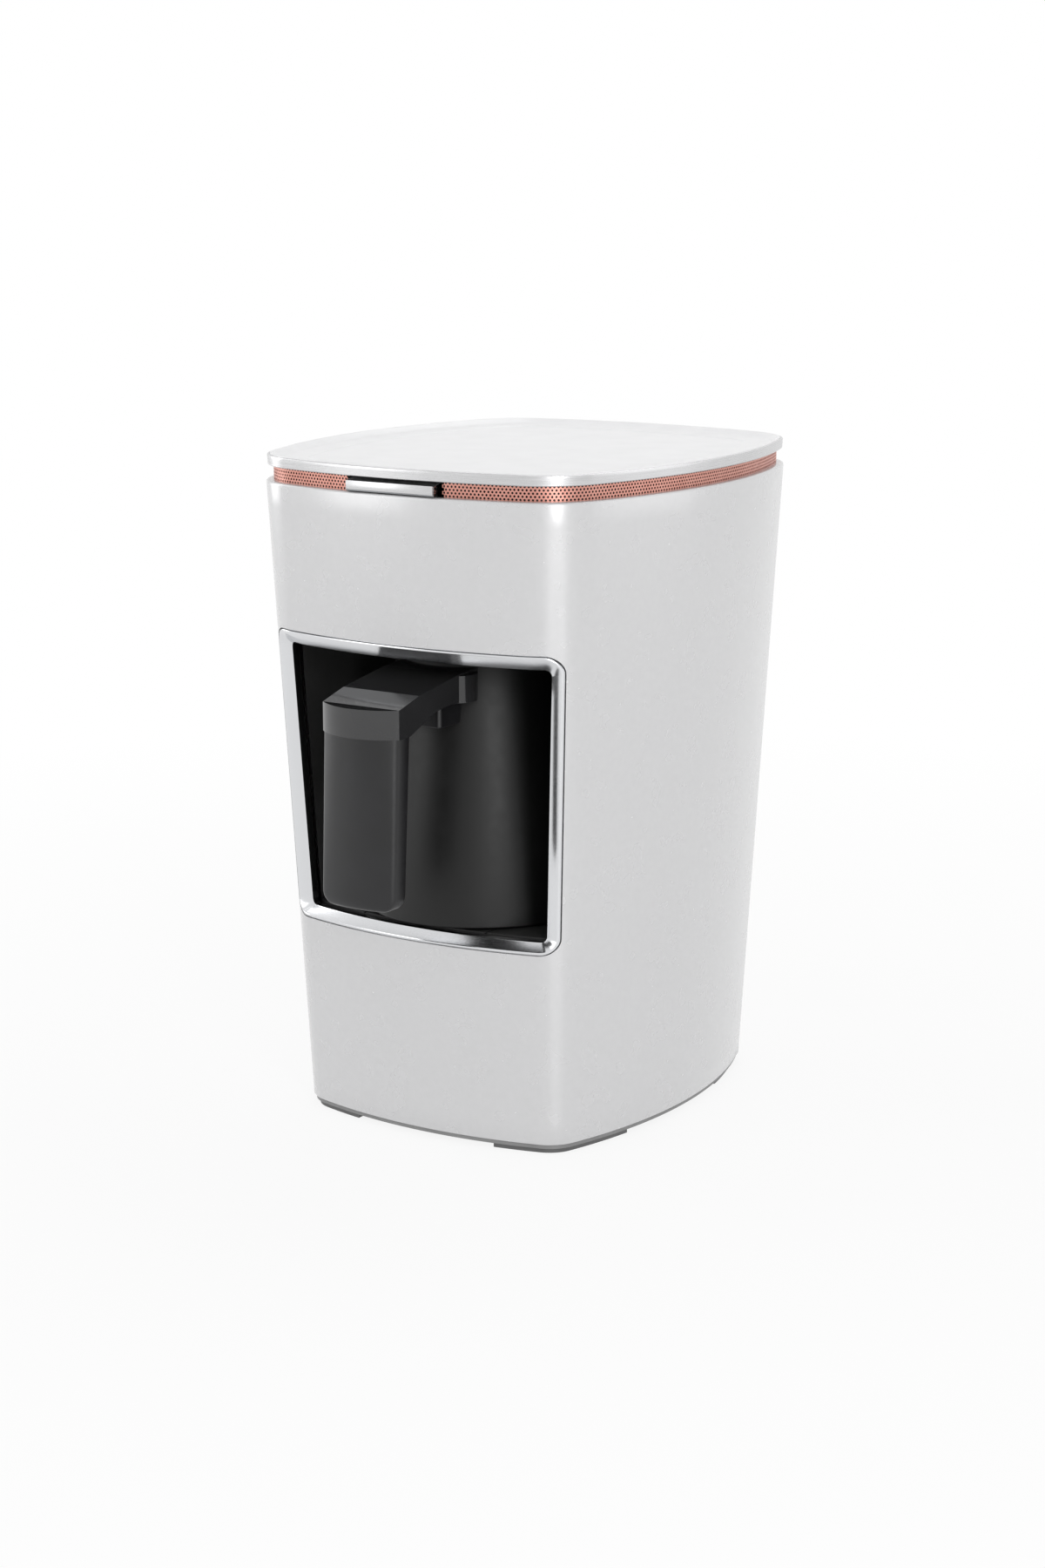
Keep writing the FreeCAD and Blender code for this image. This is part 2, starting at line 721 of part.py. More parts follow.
# Base: a shallow tray that carries the shell on its skirt, on four long rubber feet
def screw_places():
    """Where the base screws stand: inside the pedestal's four corners."""
    reach_x = "(pedestal_half_width - pedestal_wall - 2 * screw_radius)"
    front = "(-pedestal_front + pedestal_wall + 2 * screw_radius)"
    rear = "(chamber_back - pedestal_wall - 2 * screw_radius)"
    return [(f"{side} * {reach_x}", end) for side in (-1, 1) for end in (front, rear)]


def make_base_plate():
    body = doc.addObject("PartDesign::Body", "BaseBody")
    skirt = body.newObject("PartDesign::Pad", "BaseSkirt")
    skirt.Profile = outline(body, "SkirtPlan", "foot_height", "skirt_inset")
    drive(skirt, "Length", "skirt_height")
    doc.recompute()
    wall = body.newObject("PartDesign::Pad", "BaseWall")
    wall.Profile = outline(body, "WallPlan", SHELL_LOW, "shell_wall + seat_gap")
    drive(wall, "Length", "base_rise")
    doc.recompute()
    tray = body.newObject("PartDesign::Pocket", "BaseTray")
    tray.Profile = outline(body, "TrayPlan", f"{SHELL_LOW} + base_rise", "shell_wall + seat_gap + base_wall")
    drive(tray, "Length", "base_rise + skirt_height - base_floor")
    doc.recompute()
    body.Tip = tray
    holes = [
        rod(f"BaseHole{index}", "screw_radius + seat_gap", "4 * base_floor", (across, along, "foot_height - base_floor"))
        for index, (across, along) in enumerate(screw_places())
    ]
    keep("base_plate", cut("Base", body, *holes))
    screws = []
    for index, (across, along) in enumerate(screw_places()):
        head = rod(
            f"BaseScrewHead{index}",
            "screw_head_radius",
            "screw_head_height - 4 * seat_gap",
            (across, along, "foot_height - screw_head_height + 4 * seat_gap"),
        )
        shank = rod(
            f"BaseScrewShank{index}",
            "screw_radius",
            "base_floor + pedestal_wall",
            (across, along, "foot_height - seat_gap"),
        )
        screws.append(join(f"BaseScrew{index}", head, shank))
    keep("base_screws", group("BaseScrews", *screws))


def make_feet():
    for across, across_name in ((-1, "left"), (1, "right")):
        for along, along_name in ((-1, "front"), (1, "rear")):
            label = f"foot_{along_name}_{across_name}"
            ring = cut(
                label + "_ring",
                slab(label + "_outer", "0", "foot_height", "foot_inset"),
                slab(label + "_inner", "0", "foot_height", "foot_inset + foot_width"),
            )
            xs = ("foot_reach_x", "half_width_top") if across > 0 else ("-half_width_top", "-foot_reach_x")
            ys = ("foot_reach_y", "half_depth_top") if along > 0 else ("-half_depth_top", "-foot_reach_y")
            corner = block(label + "_corner", xs, ys, ("0", "foot_height"))
            keep(label, overlap(label + "_pad", ring, corner))


# Vent ring: a moulded ring with upright slots that holds the perforated band and the lid
def notch(name, extra="0"):
    """The gap in the ring and the band that the start button passes through."""
    half = f"(button_half_width + button_side_gap + {extra})"
    return block(name, (f"-{half}", half), ("-1.2 * half_depth_top", "-0.8 * half_depth_top"), (BAND_LOW, LID_TOP))


def make_vent_ring():
    inner = "(band_inset + band_thickness + seat_gap + vent_ring_wall)"
    wall = cut(
        "VentWall",
        slab("VentWallOuter", f"{BAND_LOW} - vent_ring_flange", f"{BAND_TOP} - {BAND_LOW} + vent_ring_flange",
             "band_inset + band_thickness + seat_gap"),
        slab("VentWallInner", f"{BAND_LOW} - vent_ring_flange", f"{BAND_TOP} - {BAND_LOW} + vent_ring_flange", inner),
    )
    flange = cut(
        "VentFlange",
        slab("VentFlangeOuter", f"{BAND_LOW} - vent_ring_flange", "vent_ring_flange",
             "shell_wall + 5 * seat_gap"),
        slab("VentFlangeInner", f"{BAND_LOW} - vent_ring_flange", "vent_ring_flange", inner),
    )
    ring = join("VentRing", wall, flange)
    slot_zs = (f"{SHELL_TOP} + 1", f"{SHELL_TOP} + 1 + vent_slot_height")
    slots = []
    for index in range(-4, 5):
        middle = f"{index} * vent_slot_pitch"
        span = (f"{middle} - vent_slot_width / 2", f"{middle} + vent_slot_width / 2")
        if abs(index) > 2:
            slots.append(block(f"FrontSlot{index + 4}", span, ("-1.2 * half_depth_top", "1.2 * half_depth_top"), slot_zs))
        else:
            slots.append(block(f"RearSlot{index + 4}", span, ("0", "1.2 * half_depth_top"), slot_zs))
        slots.append(block(f"SideSlot{index + 4}", ("-1.2 * half_width_top", "1.2 * half_width_top"), span, slot_zs))
    keep("vent_ring", cut("VentRingCut", ring, group("VentSlots", *slots), notch("RingNotch")))

    band = cut(
        "BandRing",
        slab("BandOuter", BAND_LOW, f"{BAND_TOP} - {BAND_LOW} - seat_gap / 2", "band_inset + seat_gap / 2"),
        slab("BandInner", BAND_LOW, f"{BAND_TOP} - {BAND_LOW} - seat_gap / 2", "band_inset + band_thickness"),
    )
    keep("vent_band", cut("Band", band, notch("BandNotch")))


# Lid: a white dished tray in a brushed metal trim
def make_lid():
    outer = "(lid_inset + trim_thickness + seat_gap / 2)"
    body = doc.addObject("PartDesign::Body", "LidBody")
    solid = body.newObject("PartDesign::Pad", "LidSolid")
    solid.Profile = outline(body, "LidPlan", BAND_TOP, outer)
    drive(solid, "Length", "lid_height")
    doc.recompute()
    steep = body.newObject("PartDesign::SubtractiveLoft", "LidSteep")
    steep.Profile = outline(body, "LidRimInner", LID_TOP, "lid_inset + lid_rim")
    steep.Sections = [outline(body, "LidBend", f"{LID_TOP} - 0.7 * lid_dish", "lid_inset + lid_rim + 0.35 * lid_slope")]
    steep.Ruled = True
    doc.recompute()
    shallow = body.newObject("PartDesign::SubtractiveLoft", "LidShallow")
    shallow.Profile = outline(body, "LidBendAgain", f"{LID_TOP} - 0.7 * lid_dish",
                              "lid_inset + lid_rim + 0.35 * lid_slope")
    shallow.Sections = [outline(body, "LidDish", f"{LID_TOP} - lid_dish", "lid_inset + lid_rim + lid_slope")]
    shallow.Ruled = True
    doc.recompute()
    body.Tip = shallow
    line = cut(
        "LidLine",
        slab("LidLineOuter", f"{LID_TOP} - lid_dish - lid_line_depth", "2 * lid_line_depth", "lid_line_inset"),
        slab("LidLineInner", f"{LID_TOP} - lid_dish - lid_line_depth", "2 * lid_line_depth",
             "lid_line_inset + lid_line_width"),
    )
    keep("top_cover", cut("Lid", body, line))
    trim = cut(
        "Trim",
        slab("TrimOuter", BAND_TOP, "lid_height - trim_drop", "lid_inset"),
        slab("TrimInner", BAND_TOP, "lid_height - trim_drop", "lid_inset + trim_thickness"),
    )
    keep("lid_trim", trim)


# Start button: a bar through the gap in the band, in a guide behind the ring
def make_button():
    top = f"({BUTTON_LOW} + button_height)"
    body = doc.addObject("PartDesign::Body", "ButtonBody")
    bar = body.newObject("PartDesign::Pad", "ButtonBar")
    bar.Profile = polygon(body, "ButtonSection", "YZ", [
        (f"-{BUTTON_FRONT}", BUTTON_LOW),
        (f"-{BUTTON_BACK}", BUTTON_LOW),
        (f"-{BUTTON_BACK}", top),
        (f"-{BUTTON_FRONT} + button_bevel_run", top),
        (f"-{BUTTON_FRONT}", f"{top} - button_bevel"),
    ])
    bar.Midplane = True
    drive(bar, "Length", "2 * button_half_width")
    doc.recompute()
    flange = body.newObject("PartDesign::Pad", "ButtonFlange")
    flange.Profile = polygon(body, "FlangeSection", "YZ", [
        (f"-{BUTTON_BACK}", BUTTON_LOW),
        (f"-{RETURN_FACE}", BUTTON_LOW),
        (f"-{RETURN_FACE}", top),
        (f"-{BUTTON_BACK}", top),
    ])
    flange.Midplane = True
    drive(flange, "Length", "2 * (button_half_width + button_flange)")
    body.Tip = flange
    keep("start_button", body)

    half = "(button_half_width + button_flange + guide_clearance)"
    low = f"({BUTTON_LOW} - guide_clearance)"
    case = block(
        "GuideCase",
        (f"-({half} + guide_wall)", f"{half} + guide_wall"),
        (f"-{BUTTON_BACK} + 2 * guide_clearance", f"-{GUIDE_BACK} + guide_wall"),
        (f"{low} - guide_wall", BAND_TOP),
    )
    room = block(
        "GuideRoom",
        (f"-{half}", half),
        (f"-{BUTTON_BACK} - guide_wall", f"-{GUIDE_BACK}"),
        (low, LID_TOP),
    )
    keep("button_guide", cut("Guide", case, room))

    middle = f"({BUTTON_LOW} + button_height / 2)"
    turns = number("spring_turns")
    pitch = number("(spring_length - spring_wire - 2 * seat_gap) / spring_turns")
    coil = Part.makeHelix(pitch, pitch * turns, number("spring_radius - spring_wire / 2"))
    near, far = number("spring_radius - spring_wire"), number("spring_radius")
    half_wire = number("spring_wire / 2")
    section = [(near, -half_wire), (far, -half_wire), (far, half_wire), (near, half_wire), (near, -half_wire)]
    ring = Part.makePolygon([FreeCAD.Vector(across, 0, up) for across, up in section])
    wound = Part.Wire(coil.Edges).makePipeShell([ring], True, True)
    springs = []
    for side in (-1, 1):
        spring = doc.addObject("Part::Feature", f"Spring{side + 1}")
        spring.Shape = wound
        spring.Placement = FreeCAD.Placement(
            FreeCAD.Vector(
                number(f"{side} * spring_spacing / 2"),
                number(f"-{RETURN_FACE} + spring_wire / 2 + seat_gap"),
                number(middle),
            ),
            FreeCAD.Rotation(FreeCAD.Vector(1, 0, 0), -90),
        )
        springs.append(spring)
    keep("button_springs", group("ButtonSprings", *springs))

    switch = block(
        "SwitchCase",
        ("-switch_width / 2", "switch_width / 2"),
        (f"-{GUIDE_BACK} - switch_depth", f"-{GUIDE_BACK}"),
        (f"{middle} - switch_height / 2", f"{middle} + switch_height / 2"),
    )
    plunger = rod(
        "SwitchPlunger",
        "plunger_radius",
        "spring_length - switch_depth - button_travel",
        ("0", f"-{RETURN_FACE} + button_travel + 2 * seat_gap", middle),
        "Y",
    )
    keep("start_switch", join("Switch", switch, plunger))


# Pot: a hollow cone with a heated floor and a contact block at the rear
def make_pot():
    low = "pot_base_level"
    slope = "((pot_base_radius - pot_rim_radius) / pot_height)"
    floor = f"({low} + pot_floor_rise)"

    def wall_radius(level, offset="0"):
        return f"(pot_base_radius - {slope} * ({level} - {low}) - ({offset}))"

    body = doc.addObject("PartDesign::Body", "PotBody")
    spun = body.newObject("PartDesign::Revolution", "PotSpun")
    spun.Profile = polygon(body, "PotProfile", "XZ", [
        ("0", floor),
        (wall_radius(floor, "pot_wall"), floor),
        (wall_radius(low, "pot_wall"), low),
        ("pot_base_radius", low),
        ("pot_rim_radius", POT_RIM),
        ("pot_rim_radius - pot_wall", POT_RIM),
        (wall_radius(f"{floor} + pot_floor", "pot_wall"), f"{floor} + pot_floor"),
        ("0", f"{floor} + pot_floor"),
    ])
    spun.ReferenceAxis = (spun.Profile[0], ["V_Axis"])
    spun.Angle = 360
    body.Tip = spun
    drive(body, "Placement.Base.y", "-pot_axis")
    keep("pot_body", body)

    heater = rod("Heater", "heater_radius", "heater_height", ("0", "-pot_axis", f"{floor} - heater_height"))
    keep("heater_plate", heater)

    plate = doc.addObject("Part::Cone", "CoverCone")
    drive(plate, "Radius1", f"{wall_radius(low, 'pot_wall')} - cover_gap")
    drive(plate, "Radius2", f"{wall_radius(low + ' + cover_height', 'pot_wall')} - cover_gap")
    drive(plate, "Height", "cover_height")
    drive(plate, "Placement.Base.y", "-pot_axis")
    drive(plate, "Placement.Base.z", low)
    post = rod(
        "CoverPost",
        "heater_radius / 3",
        "pot_floor_rise - heater_height",
        ("0", "-pot_axis", low),
    )
    keep("pot_base_cover", join("PotCover", plate, post))

    # The block stands out of the back of the pot, and its pins run back into the socket
    level = f"({low} + cover_height + connector_height / 2)"
    back = f"(pot_base_radius - pot_axis)"
    case = block(
        "ConnectorCase",
        ("-connector_half_width", "connector_half_width"),
        (f"{back} - pot_wall - connector_reach / 3", "connector_reach"),
        (f"{level} - connector_height / 2", f"{level} + connector_height / 2"),
    )
    hull = doc.addObject("Part::Cone", "ConnectorHull")
    drive(hull, "Radius1", "pot_base_radius + seat_gap / 2")
    drive(hull, "Radius2", "pot_rim_radius + seat_gap / 2")
    drive(hull, "Height", "pot_height")
    drive(hull, "Placement.Base.y", "-pot_axis")
    drive(hull, "Placement.Base.z", low)
    pins = [
        rod(f"Pin{index}", "pin_radius", "pin_length + seat_gap",
            (f"{index} * pin_spacing", "connector_reach - seat_gap", level), "Y")
        for index in (-1, 0, 1)
    ]
    keep("pot_connector", join("Connector", cut("ConnectorBlock", case, hull), *pins))

    socket_case = block(
        "SocketCase",
        ("-connector_half_width", "connector_half_width"),
        ("connector_reach + socket_gap", "chamber_back"),
        (f"{level} - connector_height / 2", f"{level} + connector_height / 2"),
    )
    foot = block(
        "SocketFoot",
        ("-connector_half_width", "connector_half_width"),
        ("connector_reach + socket_gap", "chamber_back"),
        ("chamber_floor_level", f"{level} - connector_height / 4"),
    )
    bores = [
        rod(f"Bore{index}", "pin_radius + pin_clearance", "pin_length + socket_gap",
            (f"{index} * pin_spacing", "connector_reach", level), "Y")
        for index in (-1, 0, 1)
    ]
    keep("chamber_socket", cut("Socket", join("SocketSolid", socket_case, foot), *bores))


# Handle: an arm that comes out through the window, with a grip that hangs from its end
def make_handle():
    reach = "1.2 * arm_front"
    side = polygon(None, "ArmSide", "YZ", [
        ("-arm_front", "arm_front_low"),
        ("-(arm_front - arm_chin)", "arm_front_low"),
        ("-(arm_front - arm_chin)", "arm_front_low + arm_chin_rise"),
        ("-(arm_rear + arm_belly_length)", "arm_rear_low"),
        ("-pot_axis", "arm_rear_low"),
        ("-pot_axis", "arm_rear_top + (arm_rear_top - arm_brow) * (arm_rear - pot_axis)"
                      " / (arm_front - arm_brow_back - arm_rear) * 0.1"),
        ("-arm_rear", "arm_rear_top"),
        ("-(arm_front - arm_brow_back)", "arm_brow"),
        ("-arm_front", "arm_front_top"),
    ])
    slice_side = extrude("ArmSlice", side, (1, 0, 0), "handle_half_width", "handle_half_width")
    top = polygon(None, "ArmPlan", "XY", mirrored((
        ("handle_half_width", f"-{reach}"),
        ("handle_half_width", "-arm_rear"),
        ("neck_half_width", "-(arm_rear - arm_neck_length)"),
        ("neck_half_width", "-pot_axis"),
    )), "arm_front_low - 1")
    slice_top = extrude("ArmSpan", top, (0, 0, 1), "arm_rear_top - arm_front_low + 2 * arm_belly_length")
    face = rod("ArmFace", "face_radius", "arm_rear_top", ("0", "face_radius - arm_front", "arm_front_low - 1"))
    pot_hull = doc.addObject("Part::Cone", "ArmPotHull")
    drive(pot_hull, "Radius1", "pot_base_radius + seat_gap / 2")
    drive(pot_hull, "Radius2", "pot_rim_radius + seat_gap / 2")
    drive(pot_hull, "Height", "pot_height")
    drive(pot_hull, "Placement.Base.y", "-pot_axis")
    drive(pot_hull, "Placement.Base.z", "pot_base_level")
    beyond = block("ArmBeyond", ("-handle_half_width", "handle_half_width"), ("-pot_axis - pot_rim_radius / 2", "0"),
                   ("arm_rear_low - 1", f"{POT_RIM} + 20"))
    keep("handle_arm", cut("Arm", overlap("ArmShared", slice_side, slice_top, face), pot_hull, beyond))

    sections = []
    for name, level, front, half in (
        ("GripTop", "arm_front_low", GRIP_TOP_FRONT, "grip_half_width"),
        ("GripFoot", "grip_low", GRIP_FOOT_FRONT, "grip_half_width_low"),
    ):
        sections.append(polygon(None, name, "XY", mirrored((
            ("grip_half_width * 0.45" if half == "grip_half_width" else "grip_half_width_low * 0.45", f"-{front}"),
            (f"{half} * 0.8", f"-{front} + 1"),
            (half, f"-{front} + 2.6"),
            (half, f"-{front} + grip_thickness - 2"),
            (f"{half} - 2", f"-{front} + grip_thickness"),
        )), level))
    blank = doc.addObject("Part::Loft", "GripBlank")
    blank.Sections = sections
    blank.Solid = True
    blank.Ruled = True
    front_view = rounded_prism("GripFront", mirrored((
        ("grip_half_width_low + 0.01", "grip_low"),
        ("grip_half_width + 0.01", "arm_front_low"),
    )), ("1.2 * arm_front", "0"), "grip_corner",
        lambda edge: fore_and_aft(edge) and edge.CenterOfMass.z < number("grip_low") + 1)
    keep("handle_grip", overlap("Grip", blank, front_view))

    lug = block(
        "LugBlock",
        ("-lug_half_width", "lug_half_width"),
        ("-lug_front", "-pot_axis"),
        ("lug_low", "arm_rear_low"),
    )
    shaped = round_edges(
        "LugCorners", lug, "lug_corner", lambda edge: upright(edge) and edge.CenterOfMass.y < -number("lug_front") + 1
    )
    hull = doc.addObject("Part::Cone", "LugPotHull")
    drive(hull, "Radius1", "pot_base_radius + seat_gap / 2")
    drive(hull, "Radius2", "pot_rim_radius + seat_gap / 2")
    drive(hull, "Height", "pot_height")
    drive(hull, "Placement.Base.y", "-pot_axis")
    drive(hull, "Placement.Base.z", "pot_base_level")
    keep("handle_lug", cut("Lug", shaped, hull))


# Pieces inside the housing: overflow sensor, control board and cord gland
def make_sensor():
    lens = rod("Lens", "lens_radius", "lens_thickness", ("0", "-pot_axis", LINER_TOP))
    keep("sensor_lens", lens)
    low = f"({LINER_TOP} + liner_wall)"
    span = ("-sensor_box_half", "sensor_box_half")
    deep = ("-pot_axis - sensor_box_half", "-pot_axis + sensor_box_half")
    case = block("SensorCase", span, deep, (low, f"{low} + sensor_box_height"))
    room = block(
        "SensorRoom",
        ("-sensor_box_half + sensor_box_wall", "sensor_box_half - sensor_box_wall"),
        ("-pot_axis - sensor_box_half + sensor_box_wall", "-pot_axis + sensor_box_half - sensor_box_wall"),
        (f"{low} - sensor_box_wall", f"{low} + sensor_box_height - sensor_box_wall"),
    )
    keep("sensor_housing", cut("Sensor", case, room))


def make_board():
    front = f"({LINER_BACK} + standoff_length)"
    rear = f"({front} + board_thickness)"
    plate = block("Board", ("-board_half_width", "board_half_width"), (front, rear),
                  ("board_level_height", "board_level_height + board_height"))
    keep("control_board", plate)
    posts = [
        rod(
            f"Standoff{index}",
            "standoff_radius",
            "standoff_length",
            (f"{side} * (board_half_width - standoff_edge_width)", LINER_BACK, level),
            "Y",
        )
        for index, (side, level) in enumerate(
            (side, level)
            for side in (-1, 1)
            for level in ("board_level_height + standoff_edge_width", "board_level_height + board_height - standoff_edge_width")
        )
    ]
    keep("board_standoffs", group("Standoffs", *posts))
    relays = [
        block(
            f"Relay{index}",
            (f"{middle} - relay_width / 2", f"{middle} + relay_width / 2"),
            (rear, f"{rear} + relay_depth"),
            ("board_level_height + relay_rise_height", "board_level_height + relay_rise_height + relay_height"),
        )
        for index, middle in enumerate(("-board_half_width / 2", "board_half_width / 2"))
    ]
    keep("board_relays", group("Relays", *relays))
    capacitor = rod("Capacitor", "capacitor_radius", "capacitor_length",
                    ("-board_half_width / 2", f"{rear} + capacitor_radius", "board_level_height + capacitor_rise_height"))
    seat_low = "board_level_height + capacitor_rise_height + capacitor_seat_height"
    seat = block("CapacitorSeat",
                 ("-(board_half_width + capacitor_seat_width) / 2", "-(board_half_width - capacitor_seat_width) / 2"),
                 (rear, f"{rear} + capacitor_radius"), (seat_low, f"{seat_low} + capacitor_seat_height"))
    keep("board_capacitor", join("CapacitorOnSeat", capacitor, seat))
    keep("buzzer", rod("Buzzer", "buzzer_radius", "buzzer_height",
                       ("board_half_width / 2", rear, "board_level_height + 0.7 * board_height"), "Y"))


def beside_rear_wall(name, offset, depth):
    """A block that follows the slope of the rear wall round the gland, at an offset from its outside."""
    ends = ("gland_level - 1.2 * gland_flange_radius", "gland_level + 1.2 * gland_flange_radius")
    low, high = [f"{at('(' + level + ')', 'half_depth')} + {offset}" for level in ends]
    shape = polygon(None, name + "Shape", "YZ", [
        (low, ends[0]),
        (f"{low} + {depth}", ends[0]),
        (f"{high} + {depth}", ends[1]),
        (high, ends[1]),
    ])
    return extrude(name, shape, (1, 0, 0), "1.2 * gland_flange_radius", "1.2 * gland_flange_radius")


def make_gland():
    wall_back = f"({at('gland_level', 'half_depth')})"
    body = rod("GlandBody", "gland_radius", "gland_inside + shell_wall + gland_flange",
               ("0", f"{wall_back} - shell_wall - gland_inside", "gland_level"), "Y")
    outside = beside_rear_wall("GlandOutside", "seat_gap", "2 * gland_flange")
    inside = beside_rear_wall("GlandInside", "(-shell_wall - gland_inside)", "(gland_inside - 3 * seat_gap)")
    flange = rod("GlandFlange", "gland_flange_radius", "gland_flange + shell_wall",
                 ("0", f"{wall_back} - shell_wall", "gland_level"), "Y")
    nut = rod("GlandNut", "gland_flange_radius", "gland_nut_length",
              ("0", f"{wall_back} - shell_wall - gland_nut_length", "gland_level"), "Y")
    bore = rod("GlandBore", "gland_bore", "3 * gland_inside", ("0", f"{wall_back} - 2 * gland_inside", "gland_level"), "Y")
    rims = join("GlandSolid", body, overlap("GlandSeat", flange, outside), overlap("GlandLock", nut, inside))
    keep("cord_gland", cut("Gland", rims, bore))


make_outer_shell()
make_window_frame()
make_chamber()
make_pedestal()
make_base_plate()
make_feet()
make_vent_ring()
make_lid()
make_button()
make_pot()
make_handle()
make_sensor()
make_board()
make_gland()
doc.recompute()

problems = []
for item in doc.Objects:
    if any(word in item.State for word in ("Invalid", "Error")):
        problems.append(f"{item.Name} ({item.Label}): {item.State}")
for name, item in nodes.items():
    shape = getattr(item, "Shape", None)
    if shape is None or shape.isNull() or not shape.isValid():
        problems.append(f"{name}: bad shape")
if problems:
    raise RuntimeError("; ".join(problems))

os.makedirs("parts", exist_ok=True)
for name, item in nodes.items():
    item.Shape.exportStep(os.path.join("parts", name + ".step"))
    box = item.Shape.BoundBox
    print(
        f"{name}: {len(item.Shape.Solids)} solids, {item.Shape.Volume:.0f} mm3,"
        f" x {box.XMin:.2f}..{box.XMax:.2f}, y {box.YMin:.2f}..{box.YMax:.2f}, z {box.ZMin:.2f}..{box.ZMax:.2f}"
    )
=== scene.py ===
# %% [markdown]
# An electric Turkish coffee maker: a painted housing that narrows to its foot, a window with a
# bevelled chrome frame, a black pot with a hanging grip, and a rose gold strip of tiny holes under
# a white lid. The frame below is the built model. It gives every piece its place, and this file
# gives the pieces that show their finish and, where a smoother form is needed, their mesh.

# %% Load the frame
import bpy
import bmesh
import json
import math
from mathutils import Matrix, Vector


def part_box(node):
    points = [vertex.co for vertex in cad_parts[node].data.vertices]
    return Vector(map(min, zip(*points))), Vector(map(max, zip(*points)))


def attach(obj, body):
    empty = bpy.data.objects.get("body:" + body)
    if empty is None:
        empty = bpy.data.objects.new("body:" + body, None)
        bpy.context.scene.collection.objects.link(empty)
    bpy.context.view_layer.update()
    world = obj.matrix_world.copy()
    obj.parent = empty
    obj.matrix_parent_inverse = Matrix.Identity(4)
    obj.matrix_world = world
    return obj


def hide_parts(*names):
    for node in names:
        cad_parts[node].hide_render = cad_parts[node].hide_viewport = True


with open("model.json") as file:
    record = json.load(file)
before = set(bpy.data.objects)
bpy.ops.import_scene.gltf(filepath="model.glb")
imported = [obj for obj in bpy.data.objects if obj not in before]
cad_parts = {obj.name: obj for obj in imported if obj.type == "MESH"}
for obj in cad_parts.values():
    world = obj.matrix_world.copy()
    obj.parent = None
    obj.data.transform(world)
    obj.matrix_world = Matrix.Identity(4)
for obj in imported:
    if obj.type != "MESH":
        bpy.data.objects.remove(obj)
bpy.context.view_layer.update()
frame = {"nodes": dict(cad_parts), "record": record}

MM = 0.001
print("nodes:", len(frame["nodes"]))

# %% [markdown]
# The housing's plan is four large arcs joined by four corner arcs, and it grows steadily from the
# foot to the top of the shell. Everything round the housing follows this plan, drawn in by some
# inset, so one function that gives a point of it serves the shell, the band, the lid and the frame.

# %% The plan of the housing
SHELL_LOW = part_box("outer_shell")[0][2] / MM
SHELL_TOP = 269.3
BAND_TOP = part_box("lid_trim")[0][2] / MM
LID_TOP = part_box("top_cover")[1][2] / MM
AXIS_Y = (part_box("lid_trim")[0][1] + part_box("lid_trim")[1][1]) / 2 / MM

PLAN_FOOT = {
    "half_width": 77.53, "half_depth": 88.36, "front_bulge": 9.96, "side_bulge": 15.17, "corner": 16.02,
}
PLAN_TOP = {
    "half_width": 92.22, "half_depth": 105.18, "front_bulge": 11.14, "side_bulge": 20.15, "corner": 32.09,
}
ARC_STEPS = {"front": 44, "corner": 22, "side": 44}


def plan(level):
    """Radii and centres of the arcs at a level in millimetres above the floor."""
    share = (level - SHELL_LOW) / (SHELL_TOP - SHELL_LOW)
    size = {key: PLAN_FOOT[key] + (PLAN_TOP[key] - PLAN_FOOT[key]) * share for key in PLAN_FOOT}
    width = size["half_width"]
    depth = size["half_depth"]
    across = width - size["side_bulge"]
    along = depth - size["front_bulge"]
    front = (across ** 2 + size["front_bulge"] ** 2) / (2 * size["front_bulge"])
    side = (along ** 2 + size["side_bulge"] ** 2) / (2 * size["side_bulge"])
    front_back = front - depth
    side_back = side - width
    near = front - size["corner"]
    far = side - size["corner"]
    gap = math.hypot(side_back, front_back)
    reach = (near ** 2 - far ** 2 + gap ** 2) / (2 * gap)
    rise = math.sqrt(near ** 2 - reach ** 2)
    ux, uy = -side_back / gap, -front_back / gap
    cx = reach * ux - rise * uy
    cy = front_back + reach * uy + rise * ux
    return {
        "front": front, "side": side, "corner": size["corner"],
        "front_back": front_back, "side_back": side_back, "cx": cx, "cy": cy,
        "lean": math.atan2(cx, front_back - cy), "turn": math.atan2(-cy, cx + side_back),
    }


def plan_loop(level, inset):
    """Points round the plan at a level, drawn in by an inset, starting at the front left."""
    p = plan(level)
    quarter = math.pi / 2
    spans = (
        ((0, p["front_back"]), p["front"], -quarter - p["lean"], -quarter + p["lean"], "front"),
        ((p["cx"], p["cy"]), p["corner"], -quarter + p["lean"], -p["turn"], "corner"),
        ((-p["side_back"], 0), p["side"], -p["turn"], p["turn"], "side"),
        ((p["cx"], -p["cy"]), p["corner"], p["turn"], quarter - p["lean"], "corner"),
        ((0, -p["front_back"]), p["front"], quarter - p["lean"], quarter + p["lean"], "front"),
        ((-p["cx"], -p["cy"]), p["corner"], quarter + p["lean"], math.pi - p["turn"], "corner"),
        ((p["side_back"], 0), p["side"], math.pi - p["turn"], math.pi + p["turn"], "side"),
        ((-p["cx"], p["cy"]), p["corner"], math.pi + p["turn"], 3 * quarter - p["lean"], "corner"),
    )
    points = []
    for (x, y), radius, start, end, kind in spans:
        for step in range(ARC_STEPS[kind]):
            angle = start + (end - start) * step / ARC_STEPS[kind]
            reach = radius - inset
            across = x + reach * math.cos(angle)
            along = y + AXIS_Y + reach * math.sin(angle)
            points.append(Vector((across, along, level)) * MM)
    return points


